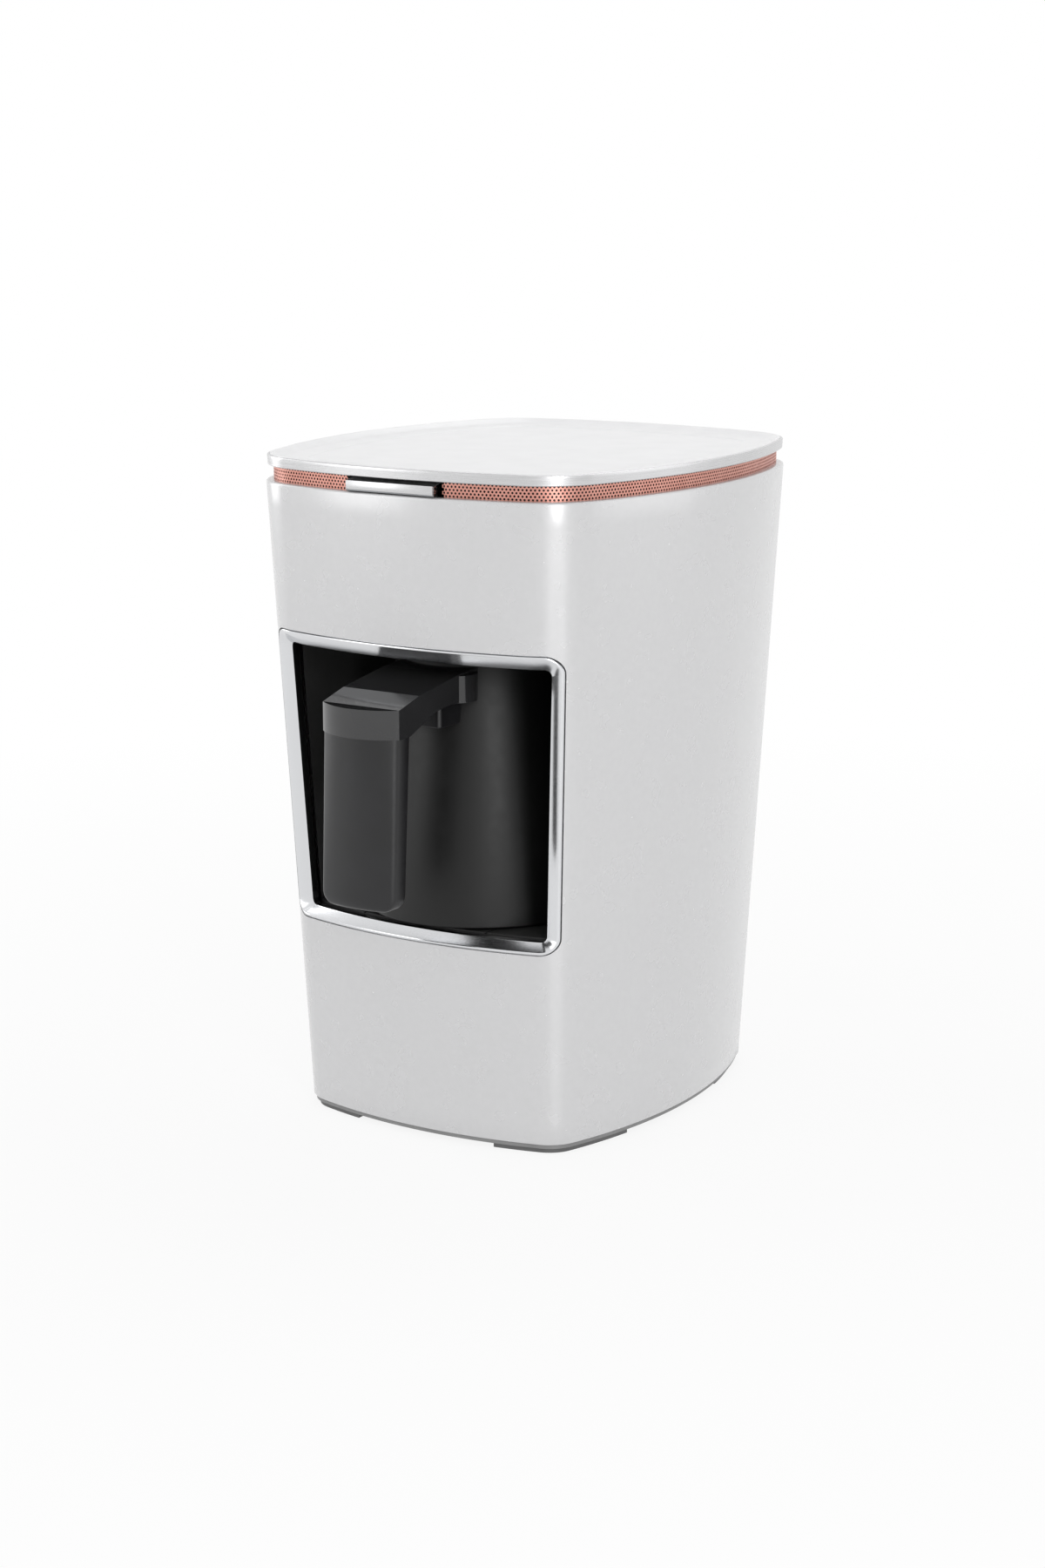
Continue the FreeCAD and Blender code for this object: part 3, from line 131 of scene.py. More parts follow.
def front_y(x, level, inset):
    """The front of the housing at a place across and up, in millimetres."""
    p = plan(level)
    if abs(x) <= p["cx"] * (p["front"] - inset) / (p["front"] - p["corner"]):
        return p["front_back"] - math.sqrt((p["front"] - inset) ** 2 - x * x) + AXIS_Y
    return p["cy"] - math.sqrt(max((p["corner"] - inset) ** 2 - (abs(x) - p["cx"]) ** 2, 0)) + AXIS_Y


print("plan points:", len(plan_loop(SHELL_LOW, 0)), "axis y:", round(AXIS_Y, 2))

# %% [markdown]
# A sleeve, a trim or a frame is a closed loop that is carried along a profile. By hand this is a
# flat grid rolled up until its two ends meet. The same is done here: a grid primitive is added
# with one column for each point of the loop and one row for each point of the profile. Its
# vertices are put in place and the seam is merged. The helpers after it do what every piece needs:
# fill open ends, apply modifiers, round edges, cut one piece with another, and shade.

# %% Rolling a grid into a ring
def select_only(obj):
    """Make one object the only selected and active one."""
    for other in bpy.context.selected_objects:
        other.select_set(False)
    obj.select_set(True)
    bpy.context.view_layer.objects.active = obj


def rolled(name, loops, closed=False):
    """A mesh from loops of equal length. Closed joins the last loop to the first."""
    rows = list(loops) + ([loops[0]] if closed else [])
    columns = len(rows[0])
    bpy.ops.object.select_all(action="DESELECT")
    bpy.ops.mesh.primitive_grid_add(x_subdivisions=columns, y_subdivisions=len(rows) - 1, size=1)
    obj = bpy.context.object
    obj.name = name
    width = columns + 1
    for index, vertex in enumerate(obj.data.vertices):
        row, column = divmod(index, width)
        vertex.co = rows[row][column % columns]
    bpy.ops.object.mode_set(mode="EDIT")
    bpy.ops.mesh.select_all(action="SELECT")
    bpy.ops.mesh.remove_doubles(threshold=1e-6)
    bpy.ops.mesh.normals_make_consistent(inside=False)
    bpy.ops.object.mode_set(mode="OBJECT")
    return obj


def fill_ends(obj):
    """Close the open ends of a rolled mesh."""
    select_only(obj)
    bpy.ops.object.mode_set(mode="EDIT")
    bpy.ops.mesh.select_all(action="DESELECT")
    bpy.ops.mesh.select_non_manifold()
    bpy.ops.mesh.edge_face_add()
    bpy.ops.mesh.select_all(action="SELECT")
    bpy.ops.mesh.normals_make_consistent(inside=False)
    bpy.ops.object.mode_set(mode="OBJECT")


def settle(obj):
    """Put an object's place into its mesh."""
    select_only(obj)
    bpy.ops.object.transform_apply(location=True, rotation=True, scale=True)


def smooth(obj, degrees=35):
    """Smooth shading that keeps the real edges crisp."""
    select_only(obj)
    bpy.ops.object.shade_smooth_by_angle(angle=math.radians(degrees))


def apply_all(obj):
    """Apply the modifiers of an object in order."""
    select_only(obj)
    for modifier in list(obj.modifiers):
        bpy.ops.object.modifier_apply(modifier=modifier.name)


def round_edges(obj, width_mm, segments, degrees=30):
    """Bevel the edges that turn by more than an angle."""
    edge = obj.modifiers.new("edges", "BEVEL")
    edge.width = width_mm * MM
    edge.segments = segments
    edge.limit_method = "ANGLE"
    edge.angle_limit = math.radians(degrees)
    apply_all(obj)


def boolean(obj, tool, operation):
    """Join or cut one object with another and delete the tool."""
    select_only(obj)
    step = obj.modifiers.new("boolean", "BOOLEAN")
    step.object = tool
    step.operation = operation
    step.solver = "EXACT"
    bpy.ops.object.modifier_apply(modifier=step.name)
    bpy.data.objects.remove(tool)


def finish_piece(obj, material, body, node=None, degrees=35):
    """Shade a piece, give it its finish and tie it to the body that carries it."""
    if degrees:
        smooth(obj, degrees)
    obj.data.materials.clear()
    obj.data.materials.append(material)
    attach(obj, body)
    if node:
        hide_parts(node)
    print(obj.name, len(obj.data.polygons), "faces")


# %% [markdown]
# Materials start from what the real surface is. One function turns sRGB hex values into linear
# light, and one function adds a shader node with its settings and links.

# %% Material helpers
def linear(code):
    """An sRGB hex value as linear colour."""
    parts = [int(code[i:i + 2], 16) / 255 for i in (1, 3, 5)]
    return tuple(c / 12.92 if c <= 0.04045 else ((c + 0.055) / 1.055) ** 2.4 for c in parts) + (1.0,)


def add(tree, kind, inputs=None, **settings):
    """Add a shader node, set its options, and set or link its inputs."""
    node = tree.nodes.new(kind)
    for key, value in settings.items():
        setattr(node, key, value)
    for key, value in (inputs or {}).items():
        if isinstance(value, bpy.types.NodeSocket):
            tree.links.new(value, node.inputs[key])
        else:
            node.inputs[key].default_value = value
    return node


def new_material(name):
    """A material with its Principled shader and its object coordinates."""
    material = bpy.data.materials.new(name)
    material.use_nodes = True
    tree = material.node_tree
    shader = tree.nodes["Principled BSDF"]
    place = tree.nodes.new("ShaderNodeTexCoord").outputs["Object"]
    return material, tree, shader, place


def grain(tree, place, size_mm, stretch=(1, 1, 1), detail=2.0):
    """Noise with blotches of about a size in millimetres, longer along an axis by its stretch."""
    turn = add(tree, "ShaderNodeMapping", {"Vector": place, "Scale": tuple(1 / s for s in stretch)})
    return add(tree, "ShaderNodeTexNoise", {
        "Vector": turn.outputs["Vector"], "Scale": 1 / (size_mm * MM), "Detail": detail,
    }).outputs["Fac"]


def spread(tree, value, low, high):
    """Turn noise into a range of values."""
    return add(tree, "ShaderNodeMapRange", {
        "Value": value, "From Min": 0.3, "From Max": 0.7, "To Min": low, "To Max": high,
    }).outputs["Result"]


def bump(tree, shader, height, strength, distance_mm):
    """Raise and lower the surface by a pattern, by up to a distance in millimetres."""
    node = add(tree, "ShaderNodeBump", {"Height": height, "Strength": strength, "Distance": distance_mm * MM})
    tree.links.new(node.outputs["Normal"], shader.inputs["Normal"])


# %% [markdown]
# The housing is sprayed with a pearl silver lacquer: a pale metallic coat with flakes too fine to
# see one by one, under a clear coat. The eye gets broad soft bands of light, a very faint mottle
# from the flakes, and a gloss that varies a little, as spraying leaves it. Real flakes wouldn't
# show at this distance, so the mottle is drawn coarser, at 2.5 mm.

# %% Pearl lacquer
def pearl_lacquer():
    material, tree, shader, place = new_material("pearl_lacquer")
    flakes = grain(tree, place, 2.5, detail=1.0)
    mix = add(tree, "ShaderNodeMix", {
        "Factor": spread(tree, flakes, 0.0, 1.0), "A": linear("#C8C8C9"), "B": linear("#CACACB"),
    }, data_type="RGBA")
    tree.links.new(mix.outputs["Result"], shader.inputs["Base Color"])
    shader.inputs["Metallic"].default_value = 0.3
    tree.links.new(spread(tree, grain(tree, place, 9.0), 0.25, 0.28), shader.inputs["Roughness"])
    shader.inputs["Coat Weight"].default_value = 0.35
    shader.inputs["Coat Roughness"].default_value = 0.12
    return material


# %% [markdown]
# The window frame is satin chrome: plated plastic with a fine matt grain that blurs what it
# mirrors. The button's bar is plated the same way in a dark tone, and that tone is partly painted
# shade: the thin strip of the bar left showing under the button's face stands in for the shadow
# line beneath the face. The lid's edge and the button's face are brushed instead, with hair lines
# along their length, so their noise is stretched. The band is anodised a rose gold, which is softer
# and less of a mirror than plating. Screws and other small metal parts are plain, with a gloss that
# varies from place to place.

# %% Metals
def satin_chrome():
    material, tree, shader, place = new_material("satin_chrome")
    shader.inputs["Base Color"].default_value = linear("#D6D7D9")
    shader.inputs["Metallic"].default_value = 1.0
    tree.links.new(spread(tree, grain(tree, place, 1.2), 0.17, 0.2), shader.inputs["Roughness"])
    return material


def brushed_aluminium():
    material, tree, shader, place = new_material("brushed_aluminium")
    lines = grain(tree, place, 0.25, stretch=(60, 60, 1), detail=4.0)
    mix = add(tree, "ShaderNodeMix", {
        "Factor": spread(tree, lines, 0.0, 1.0), "A": linear("#C4C4C5"), "B": linear("#CDCDCE"),
    }, data_type="RGBA")
    tree.links.new(mix.outputs["Result"], shader.inputs["Base Color"])
    shader.inputs["Metallic"].default_value = 1.0
    tree.links.new(spread(tree, lines, 0.24, 0.32), shader.inputs["Roughness"])
    return material


# Dark plating for the button's bar. Its dark tone also paints shade: the strip of the bar below the button's
# face stands in for the shadow line there.
def dark_chrome_and_painted_shade():
    material, tree, shader, place = new_material("dark_chrome_and_painted_shade")
    shader.inputs["Base Color"].default_value = linear("#6E6F71")
    shader.inputs["Metallic"].default_value = 1.0
    tree.links.new(spread(tree, grain(tree, place, 1.0), 0.16, 0.22), shader.inputs["Roughness"])
    return material


def rose_gold():
    material, tree, shader, place = new_material("rose_gold_anodised")
    tone = grain(tree, place, 6.0, detail=3.0)
    mix = add(tree, "ShaderNodeMix", {
        "Factor": spread(tree, tone, 0.0, 1.0), "A": linear("#C48A7D"), "B": linear("#CF978A"),
    }, data_type="RGBA")
    tree.links.new(mix.outputs["Result"], shader.inputs["Base Color"])
    shader.inputs["Metallic"].default_value = 0.75
    shader.inputs["Roughness"].default_value = 0.38
    bump(tree, shader, grain(tree, place, 0.4), 0.05, 0.01)
    return material


def plain_metal(name):
    material, tree, shader, place = new_material(name)
    shader.inputs["Base Color"].default_value = linear("#B9BBBE")
    shader.inputs["Metallic"].default_value = 1.0
    tree.links.new(spread(tree, grain(tree, place, 1.5), 0.3, 0.45), shader.inputs["Roughness"])
    return material


# %% [markdown]
# Most of the plastics are ABS, moulded in a polished or a spark-eroded tool. A polished tool gives
# a gloss with a hint of waviness, and an eroded one a fine leather-like grain that spreads the
# light. The rubber, the board, the lens and the pot's coating differ from them only in colour,
# roughness and grain size, so one function makes them all.

# %% Plastics
def moulded(name, dark, light, rough, grain_mm, depth, coat=0.0, index=1.53):
    material, tree, shader, place = new_material(name)
    tone = grain(tree, place, 14.0)
    mix = add(tree, "ShaderNodeMix", {
        "Factor": spread(tree, tone, 0.0, 1.0), "A": linear(dark), "B": linear(light),
    }, data_type="RGBA")
    tree.links.new(mix.outputs["Result"], shader.inputs["Base Color"])
    shader.inputs["IOR"].default_value = index
    tree.links.new(spread(tree, grain(tree, place, 5.0), rough[0], rough[1]), shader.inputs["Roughness"])
    shader.inputs["Coat Weight"].default_value = coat
    shader.inputs["Coat Roughness"].default_value = 0.05
    bump(tree, shader, grain(tree, place, grain_mm), depth, 0.05)
    return material


FINISHES = {
    "pearl_paint": pearl_lacquer(),
    "satin_chrome": satin_chrome(),
    "brushed_trim": brushed_aluminium(),
    "copper_mesh": rose_gold(),
    "steel": plain_metal("zinc_plated_steel"),
    "aluminium": plain_metal("cast_aluminium"),
    "white_lid": moulded("white_abs_gloss", "#EDEDEE", "#F1F1F2", (0.28, 0.32), 6.0, 0.002),
    "black_liner": moulded("black_abs_liner", "#2E2E2E", "#343434", (0.4, 0.48), 0.6, 0.04),
    "black_gloss": moulded("black_abs_gloss", "#242425", "#282829", (0.07, 0.1), 6.0, 0.003, index=1.62),
    "black_satin": moulded("black_abs_satin", "#141415", "#18181A", (0.32, 0.38), 0.5, 0.03, index=1.46),
    "grey_plastic": moulded("grey_polypropylene", "#7A7A7A", "#828282", (0.42, 0.5), 0.8, 0.08),
    "rubber": moulded("grey_rubber", "#5C5C5C", "#646464", (0.6, 0.7), 0.5, 0.1),
    "board_green": moulded("board_laminate", "#1D5A36", "#236640", (0.3, 0.4), 1.0, 0.05),
    "lens": moulded("dark_lens", "#14060A", "#18080C", (0.06, 0.08), 4.0, 0.01),
}
DARK_CHROME_AND_PAINTED_SHADE = dark_chrome_and_painted_shade()
POT_COATING = moulded("nonstick_coating_black", "#101010", "#131313", (0.4, 0.46), 0.5, 0.02, index=1.38)

for entry in frame["record"]["subparts"]:
    mesh = frame["nodes"][entry["node"]].data
    mesh.materials.clear()
    mesh.materials.append(FINISHES[entry["material_slot"]])
print("finishes:", len(FINISHES))

# %% [markdown]
# The shell is a sleeve about 2 mm thick with a softly rounded top edge that turns in to the band.
# Its profile goes up the outside, over the edge, down inside the lip and down the inner wall. The
# window is then cut through the front with a block whose four long edges are rounded. Cutting is
# simpler than modelling the opening into the curved grid.

# %% Shell
SHELL_WALL = 2.0
BAND_INSET = 3.19
EDGE_ROUND = 1.3
LIP_TALL = 2.0
INNER_ROW = 120
SHELL_ROWS = 30
WINDOW = {"half_low": 64.45, "low": 85.9, "half_top": 69.77, "top": 208.55, "corner": 7.0}
OPENING = {"half_low": 58.06, "low": 90.09, "half_top": 63.21, "top": 202.53, "corner": 2.5}
WINDOW_GAP = 0.45


def rounded_edge(inset, level, radius, steps=4):
    """Profile points of a convex top edge that turns inwards."""
    points = []
    for step in range(steps + 1):
        angle = math.pi / 2 * step / steps
        points.append((inset + radius * (1 - math.cos(angle)), level - radius + radius * math.sin(angle)))
    return points


shell_profile = [(1.0, SHELL_LOW), (0.3, SHELL_LOW + 0.1), (0.0, SHELL_LOW + 0.6)]
for row in range(1, SHELL_ROWS):
    shell_profile.append((0.0, SHELL_LOW + (SHELL_TOP - EDGE_ROUND - SHELL_LOW) * row / SHELL_ROWS))
shell_profile += rounded_edge(0.0, SHELL_TOP, EDGE_ROUND)
shell_profile += [(BAND_INSET, SHELL_TOP), (BAND_INSET, SHELL_TOP - LIP_TALL)]
shell_profile += [(SHELL_WALL, SHELL_TOP - LIP_TALL - 0.2)]
shell_profile += [(SHELL_WALL, SHELL_LOW + INNER_ROW), (SHELL_WALL, SHELL_LOW)]
shell_loops = [plan_loop(level, inset) for inset, level in shell_profile]
shell = rolled("outer_shell_lacquered", shell_loops, closed=True)


def window_block(name, shape, grow, back, depth):
    """A block the shape of the window, with its four long edges rounded."""
    bpy.ops.object.select_all(action="DESELECT")
    bpy.ops.mesh.primitive_cube_add(size=1)
    block = bpy.context.object
    block.name = name
    for vertex in block.data.vertices:
        low = vertex.co.z < 0
        half = (shape["half_low"] if low else shape["half_top"]) + grow
        level = shape["low"] - grow if low else shape["top"] + grow
        y = back if vertex.co.y > 0 else back - depth
        vertex.co = Vector((math.copysign(half, vertex.co.x), y, level)) * MM
    bpy.ops.object.mode_set(mode="EDIT")
    bpy.ops.mesh.select_all(action="DESELECT")
    bpy.ops.object.mode_set(mode="OBJECT")
    for edge in block.data.edges:
        ends = [block.data.vertices[index].co for index in edge.vertices]
        edge.select = abs(ends[0].y - ends[1].y) > 1e-4
    bpy.ops.object.mode_set(mode="EDIT")
    bpy.ops.mesh.select_mode(type="EDGE")
    bpy.ops.mesh.bevel(offset=(shape["corner"] + grow) * MM, offset_type="OFFSET", segments=12)
    bpy.ops.mesh.select_all(action="SELECT")
    bpy.ops.mesh.normals_make_consistent(inside=False)
    bpy.ops.object.mode_set(mode="OBJECT")
    return block


CUTTER_BACK = AXIS_Y - 30
CUTTER_DEEP = 100
boolean(shell, window_block("window_cutter", WINDOW, WINDOW_GAP, CUTTER_BACK, CUTTER_DEEP), "DIFFERENCE")
finish_piece(shell, FINISHES["pearl_paint"], "casing", "outer_shell")

# %% [markdown]
# The window frame is a bezel: a thin bright land at the front, a wide bevel that falls inwards to
# the opening, and a flange behind. It follows the curved front, so each point is found on the
# window's outline first and then pushed back from the housing's front by its depth.

# %% Window frame
FRAME_ARC = 10
FRAME_SPAN = (24, 40)
TIGHTEST_CORNER = 0.3


def window_loop(shape, grow):
    """Points round a window with slanting sides and rounded corners, in millimetres across and up."""
    corner = max(shape["corner"] + grow, TIGHTEST_CORNER)
    half_low = shape["half_low"] + grow
    half_top = shape["half_top"] + grow
    low = shape["low"] - grow
    top = shape["top"] + grow
    spots = [
        Vector((half_low, low)), Vector((half_top, top)), Vector((-half_top, top)), Vector((-half_low, low)),
    ]
    arcs = []
    for index, spot in enumerate(spots):
        back = (spots[index - 1] - spot).normalized()
        ahead = (spots[(index + 1) % 4] - spot).normalized()
        half = back.angle(ahead) / 2
        centre = spot + (back + ahead).normalized() * (corner / math.sin(half))
        enter = spot + back * (corner / math.tan(half)) - centre
        sweep = math.pi - 2 * half
        turns = [Matrix.Rotation(sweep * step / FRAME_ARC, 2) for step in range(FRAME_ARC + 1)]
        arcs.append([centre + turn @ enter for turn in turns])
    points = []
    for index, arc in enumerate(arcs):
        points += arc
        start, end = arc[-1], arcs[(index + 1) % 4][0]
        steps = FRAME_SPAN[index % 2]
        points += [start + (end - start) * step / steps for step in range(1, steps)]
    return points


# Each step of the profile: the outline it follows, how far outside that it lies, how deep it is.
frame_profile = (
    (WINDOW, 0.0, 2.0), (WINDOW, 0.0, 0.35), (WINDOW, -0.12, 0.05), (WINDOW, -0.35, -0.02),
    (WINDOW, -0.8, 0.0), (WINDOW, -1.05, 0.15),
    (OPENING, 0.35, 4.45), (OPENING, 0.05, 4.75), (OPENING, 0.0, 5.2), (OPENING, 0.0, 8.0),
    (WINDOW, 3.0, 8.0), (WINDOW, 3.0, 2.1), (WINDOW, 0.0, 2.1),
)
loops = []
for shape, grow, inset in frame_profile:
    loops.append([Vector((p.x, front_y(p.x, p.y, inset), p.y)) * MM for p in window_loop(shape, grow)])
bezel = rolled("window_frame_bevelled", loops, closed=True)
finish_piece(bezel, FINISHES["satin_chrome"], "casing", "window_frame", 25)

# %% [markdown]
# The vent band is a strip of rose gold sheet with about 2,200 holes of 1 mm, in rows that are
# staggered like bricks. One cell with one hole is modelled: six edges round the hole, pushed out
# to a small oblong. Six are enough at this size and keep the mesh light. The cell is repeated
# along the strip and up it, and the flat strip is then laid round the plan and given its thickness.

# %% Vent band
HOLE_PITCH = 1.65
ROW_PITCH = 1.27
HOLE_ROWS = 6
HOLE_RADIUS = 0.504
SHEET = 0.3
NOTCH_HALF = 22.6
BAND_LOW = SHELL_TOP - 1.3


def strip_path(level, inset):
    """The way round the plan from one side of the button's gap to the other, with its lengths."""
    loop = [point / MM for point in plan_loop(level, inset)]
    count = len(loop)
    start = next(index for index in range(count) if loop[index].x > NOTCH_HALF)
    path = [loop[(start + index) % count] for index in range(count)]
    path = [point for point in path if not (abs(point.x) <= NOTCH_HALF and point.y < AXIS_Y)]
    ends = []
    for x in (NOTCH_HALF, -NOTCH_HALF):
        ends.append(Vector((x, front_y(x, level, inset), level)))
    path = [ends[0]] + path + [ends[1]]
    lengths = [0.0]
    for before, after in zip(path, path[1:]):
        lengths.append(lengths[-1] + (after - before).length)
    return path, lengths


path, lengths = strip_path(SHELL_TOP, BAND_INSET)
columns = int(lengths[-1] / HOLE_PITCH)
pitch = lengths[-1] / columns

bpy.ops.object.select_all(action="DESELECT")
bpy.ops.mesh.primitive_circle_add(vertices=6, radius=HOLE_RADIUS)
band = bpy.context.object
band.name = "vent_band_perforated"
bpy.ops.object.mode_set(mode="EDIT")
bpy.ops.mesh.select_all(action="SELECT")
bpy.ops.mesh.extrude_region_move(TRANSFORM_OT_translate={"value": (0, 0, 0)})
work = bmesh.from_edit_mesh(band.data)
for vertex in work.verts:
    if vertex.select:
        angle = math.atan2(vertex.co.y, vertex.co.x)
        across = 0 if abs(math.cos(angle)) < 0.1 else math.copysign(pitch / 2, math.cos(angle))
        vertex.co = Vector((across, math.copysign(ROW_PITCH / 2, math.sin(angle)), 0))
bmesh.update_edit_mesh(band.data)
bpy.ops.object.mode_set(mode="OBJECT")
array = band.modifiers.new("columns", "ARRAY")
array.count = columns
array.use_relative_offset = False
array.use_constant_offset = True
array.constant_offset_displace = (pitch, 0, 0)
apply_all(band)
bpy.ops.object.mode_set(mode="EDIT")
bpy.ops.mesh.select_all(action="SELECT")
for row in range(1, HOLE_ROWS):
    shift = pitch / 2 if row % 2 else -pitch / 2
    bpy.ops.mesh.duplicate_move(TRANSFORM_OT_translate={"value": (shift, ROW_PITCH, 0)})
bpy.ops.mesh.select_all(action="SELECT")
bpy.ops.mesh.remove_doubles(threshold=1e-3)
bpy.ops.object.mode_set(mode="OBJECT")


def along_path(distance):
    """The point of the strip's path at a length along it."""
    distance = min(max(distance, 0), lengths[-1] - 1e-6)
    low, high = 0, len(lengths) - 1
    while high - low > 1:
        middle = (low + high) // 2
        if lengths[middle] <= distance:
            low = middle
        else:
            high = middle
    share = (distance - lengths[low]) / (lengths[high] - lengths[low])
    return path[low].lerp(path[high], share)


for vertex in band.data.vertices:
    spot = along_path(vertex.co.x + pitch / 2)
    vertex.co = Vector((spot.x, spot.y, BAND_LOW + ROW_PITCH / 2 + vertex.co.y)) * MM
select_only(band)
bpy.ops.object.mode_set(mode="EDIT")
bpy.ops.mesh.select_all(action="SELECT")
bpy.ops.mesh.normals_make_consistent(inside=False)
bpy.ops.object.mode_set(mode="OBJECT")
thick = band.modifiers.new("sheet", "SOLIDIFY")
thick.thickness = SHEET * MM
thick.offset = -1
apply_all(band)
finish_piece(band, FINISHES["copper_mesh"], "casing", "vent_band")
print("holes:", columns * HOLE_ROWS)

# %% [markdown]
# The lid is a white tray with a narrow rim, a soft slope down and a flat floor with one thin step
# line. Round it runs a brushed metal trim. Both follow the plan, so both are rolled rings. The
# tray's open ends are filled, which closes its floor and its underside.

# %% Lid
LID_INSET = 1.14
TRIM = 1.1
TRIM_TOP = LID_TOP - 0.35
RIM = 2.3
RIM_DROP = 0.08
SLOPE = 5.0
SLOPE_STEPS = 8
DISH = 2.2
LINE_INSET = 18.0

trim_profile = [(LID_INSET + 0.25, BAND_TOP), (LID_INSET, BAND_TOP + 0.3)]
trim_profile += [(LID_INSET, BAND_TOP + 1.5), (LID_INSET, BAND_TOP + 3.0)]
trim_profile += rounded_edge(LID_INSET, TRIM_TOP, 0.4, 3)
trim_profile += [(LID_INSET + TRIM, TRIM_TOP), (LID_INSET + TRIM, BAND_TOP)]
trim = rolled("lid_trim_brushed", [plan_loop(level, inset) for inset, level in trim_profile], closed=True)
finish_piece(trim, FINISHES["brushed_trim"], "casing", "lid_trim")

lid_profile = [(LINE_INSET + 8, BAND_TOP), (LID_INSET + TRIM + 0.05, BAND_TOP)]
lid_profile += rounded_edge(LID_INSET + TRIM + 0.05, LID_TOP, 0.5, 3)
lid_profile += [(LID_INSET + RIM - 0.2, LID_TOP), (LID_INSET + RIM, LID_TOP - RIM_DROP)]
for step in range(1, SLOPE_STEPS + 1):
    share = step / SLOPE_STEPS
    level = LID_TOP - RIM_DROP - (DISH - RIM_DROP) * math.sin(share * math.pi / 2)
    lid_profile.append((LID_INSET + RIM + SLOPE * share, level))
lid_profile += [(LINE_INSET - 0.3, LID_TOP - DISH), (LINE_INSET - 0.1, LID_TOP - DISH - 0.15)]
lid_profile += [(LINE_INSET + 0.5, LID_TOP - DISH - 0.3), (LINE_INSET + 8, LID_TOP - DISH - 0.3)]
lid = rolled("top_cover_dished", [plan_loop(level, inset) for inset, level in lid_profile])
fill_ends(lid)
finish_piece(lid, FINISHES["white_lid"], "casing", "top_cover")

# %% [markdown]
# Some pieces already have the right form in the frame, but with knife-sharp edges. Real mouldings
# never have those, and it is the thin line of light along an edge that makes them look solid. A
# copy is merged into one surface, its flat faces are joined, and its edges are rounded.

# %% Pieces with softened edges
def softened(node, name, radius_mm, material, body):
    """A copy of a node with its sharp edges rounded."""
    source = frame["nodes"][node]
    piece = source.copy()
    piece.data = source.data.copy()
    piece.name = name
    piece.parent = None
    bpy.context.scene.collection.objects.link(piece)
    piece.matrix_world = Matrix.Identity(4)
    piece.hide_set(False)
    piece.hide_render = False
    select_only(piece)
    bpy.ops.object.mode_set(mode="EDIT")
    bpy.ops.mesh.select_all(action="SELECT")
    bpy.ops.mesh.remove_doubles(threshold=1e-6)
    bpy.ops.mesh.dissolve_limited(angle_limit=math.radians(0.5))
    bpy.ops.object.mode_set(mode="OBJECT")
    round_edges(piece, radius_mm, 3)
    smooth(piece, 60)
    flat = piece.modifiers.new("flat faces", "WEIGHTED_NORMAL")
    flat.weight = 100
    flat.keep_sharp = True
    apply_all(piece)
    finish_piece(piece, material, body, node, None)


softened("handle_lug", "handle_lug_satin", 0.6, FINISHES["black_satin"], "pot")
# The bar's dark plating also gives the painted shadow line under the button's face.
softened("start_button", "start_button_chromed", 0.25, DARK_CHROME_AND_PAINTED_SHADE, "button")

# %% [markdown]
# The handle's arm is one profile seen from the side, drawn out across: a nose, a brow that slopes
# up to the flat top, and an arched belly. The nose bulges forwards in an arc, so the slices in the
# middle stand further out than those at the sides. Two small drums round off the arm where it
# meets the pot, and a cone the size of the pot is cut away from it. Lengths along the arm are
# measured from the middle of the housing, so they are moved by where that lies in the frame.

# %% Handle arm
ARM = {"half": 18.3, "corner_front": -125.5, "low": 176.6, "high": 188.4, "bulge": 7.0, "slices": 52}
DRUM = {"radius": 9.6, "tall": 11.0, "aside": 11.5, "along": -76.5, "middle": 189.9}
POT = {"base": 49.7, "rim": 34.7, "wall": 1.6, "floor": 12.6}
POT_SEAT = 0.1
pot_low, pot_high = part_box("pot_body")
pot_centre = (pot_low[1] + pot_high[1]) / 2
pot_tall = pot_high[2] - pot_low[2]


def bulge(across, half, depth):
    """How far an arc that spans two corners stands out at a place across."""
    radius = (half ** 2 + depth ** 2) / (2 * depth)
    return math.sqrt(radius ** 2 - across ** 2) - math.sqrt(radius ** 2 - half ** 2)


def curve(spots, steps):
    """A smooth run of points through a few spots."""
    points = []
    for index in range(len(spots) - 1):
        before = spots[max(index - 1, 0)]
        start, end = spots[index], spots[index + 1]
        after = spots[min(index + 2, len(spots) - 1)]
        for step in range(steps):
            t = step / steps
            points.append(tuple(
                0.5 * (
                    2 * b + (c - a) * t + (2 * a - 5 * b + 4 * c - d) * t * t
                    + (3 * b - a - 3 * c + d) * t ** 3
                )
                for a, b, c, d in zip(before, start, end, after)
            ))
    return points + [spots[-1]]


def pot_cone(grow):
    """A cone of the pot's outside, larger all round by a gap in millimetres."""
    bpy.ops.object.select_all(action="DESELECT")
    bpy.ops.mesh.primitive_cone_add(
        vertices=160, radius1=(POT["base"] + grow) * MM, radius2=(POT["rim"] + grow) * MM,
        depth=pot_tall, location=(0, pot_centre, pot_low[2] + pot_tall / 2),
    )
    return bpy.context.object


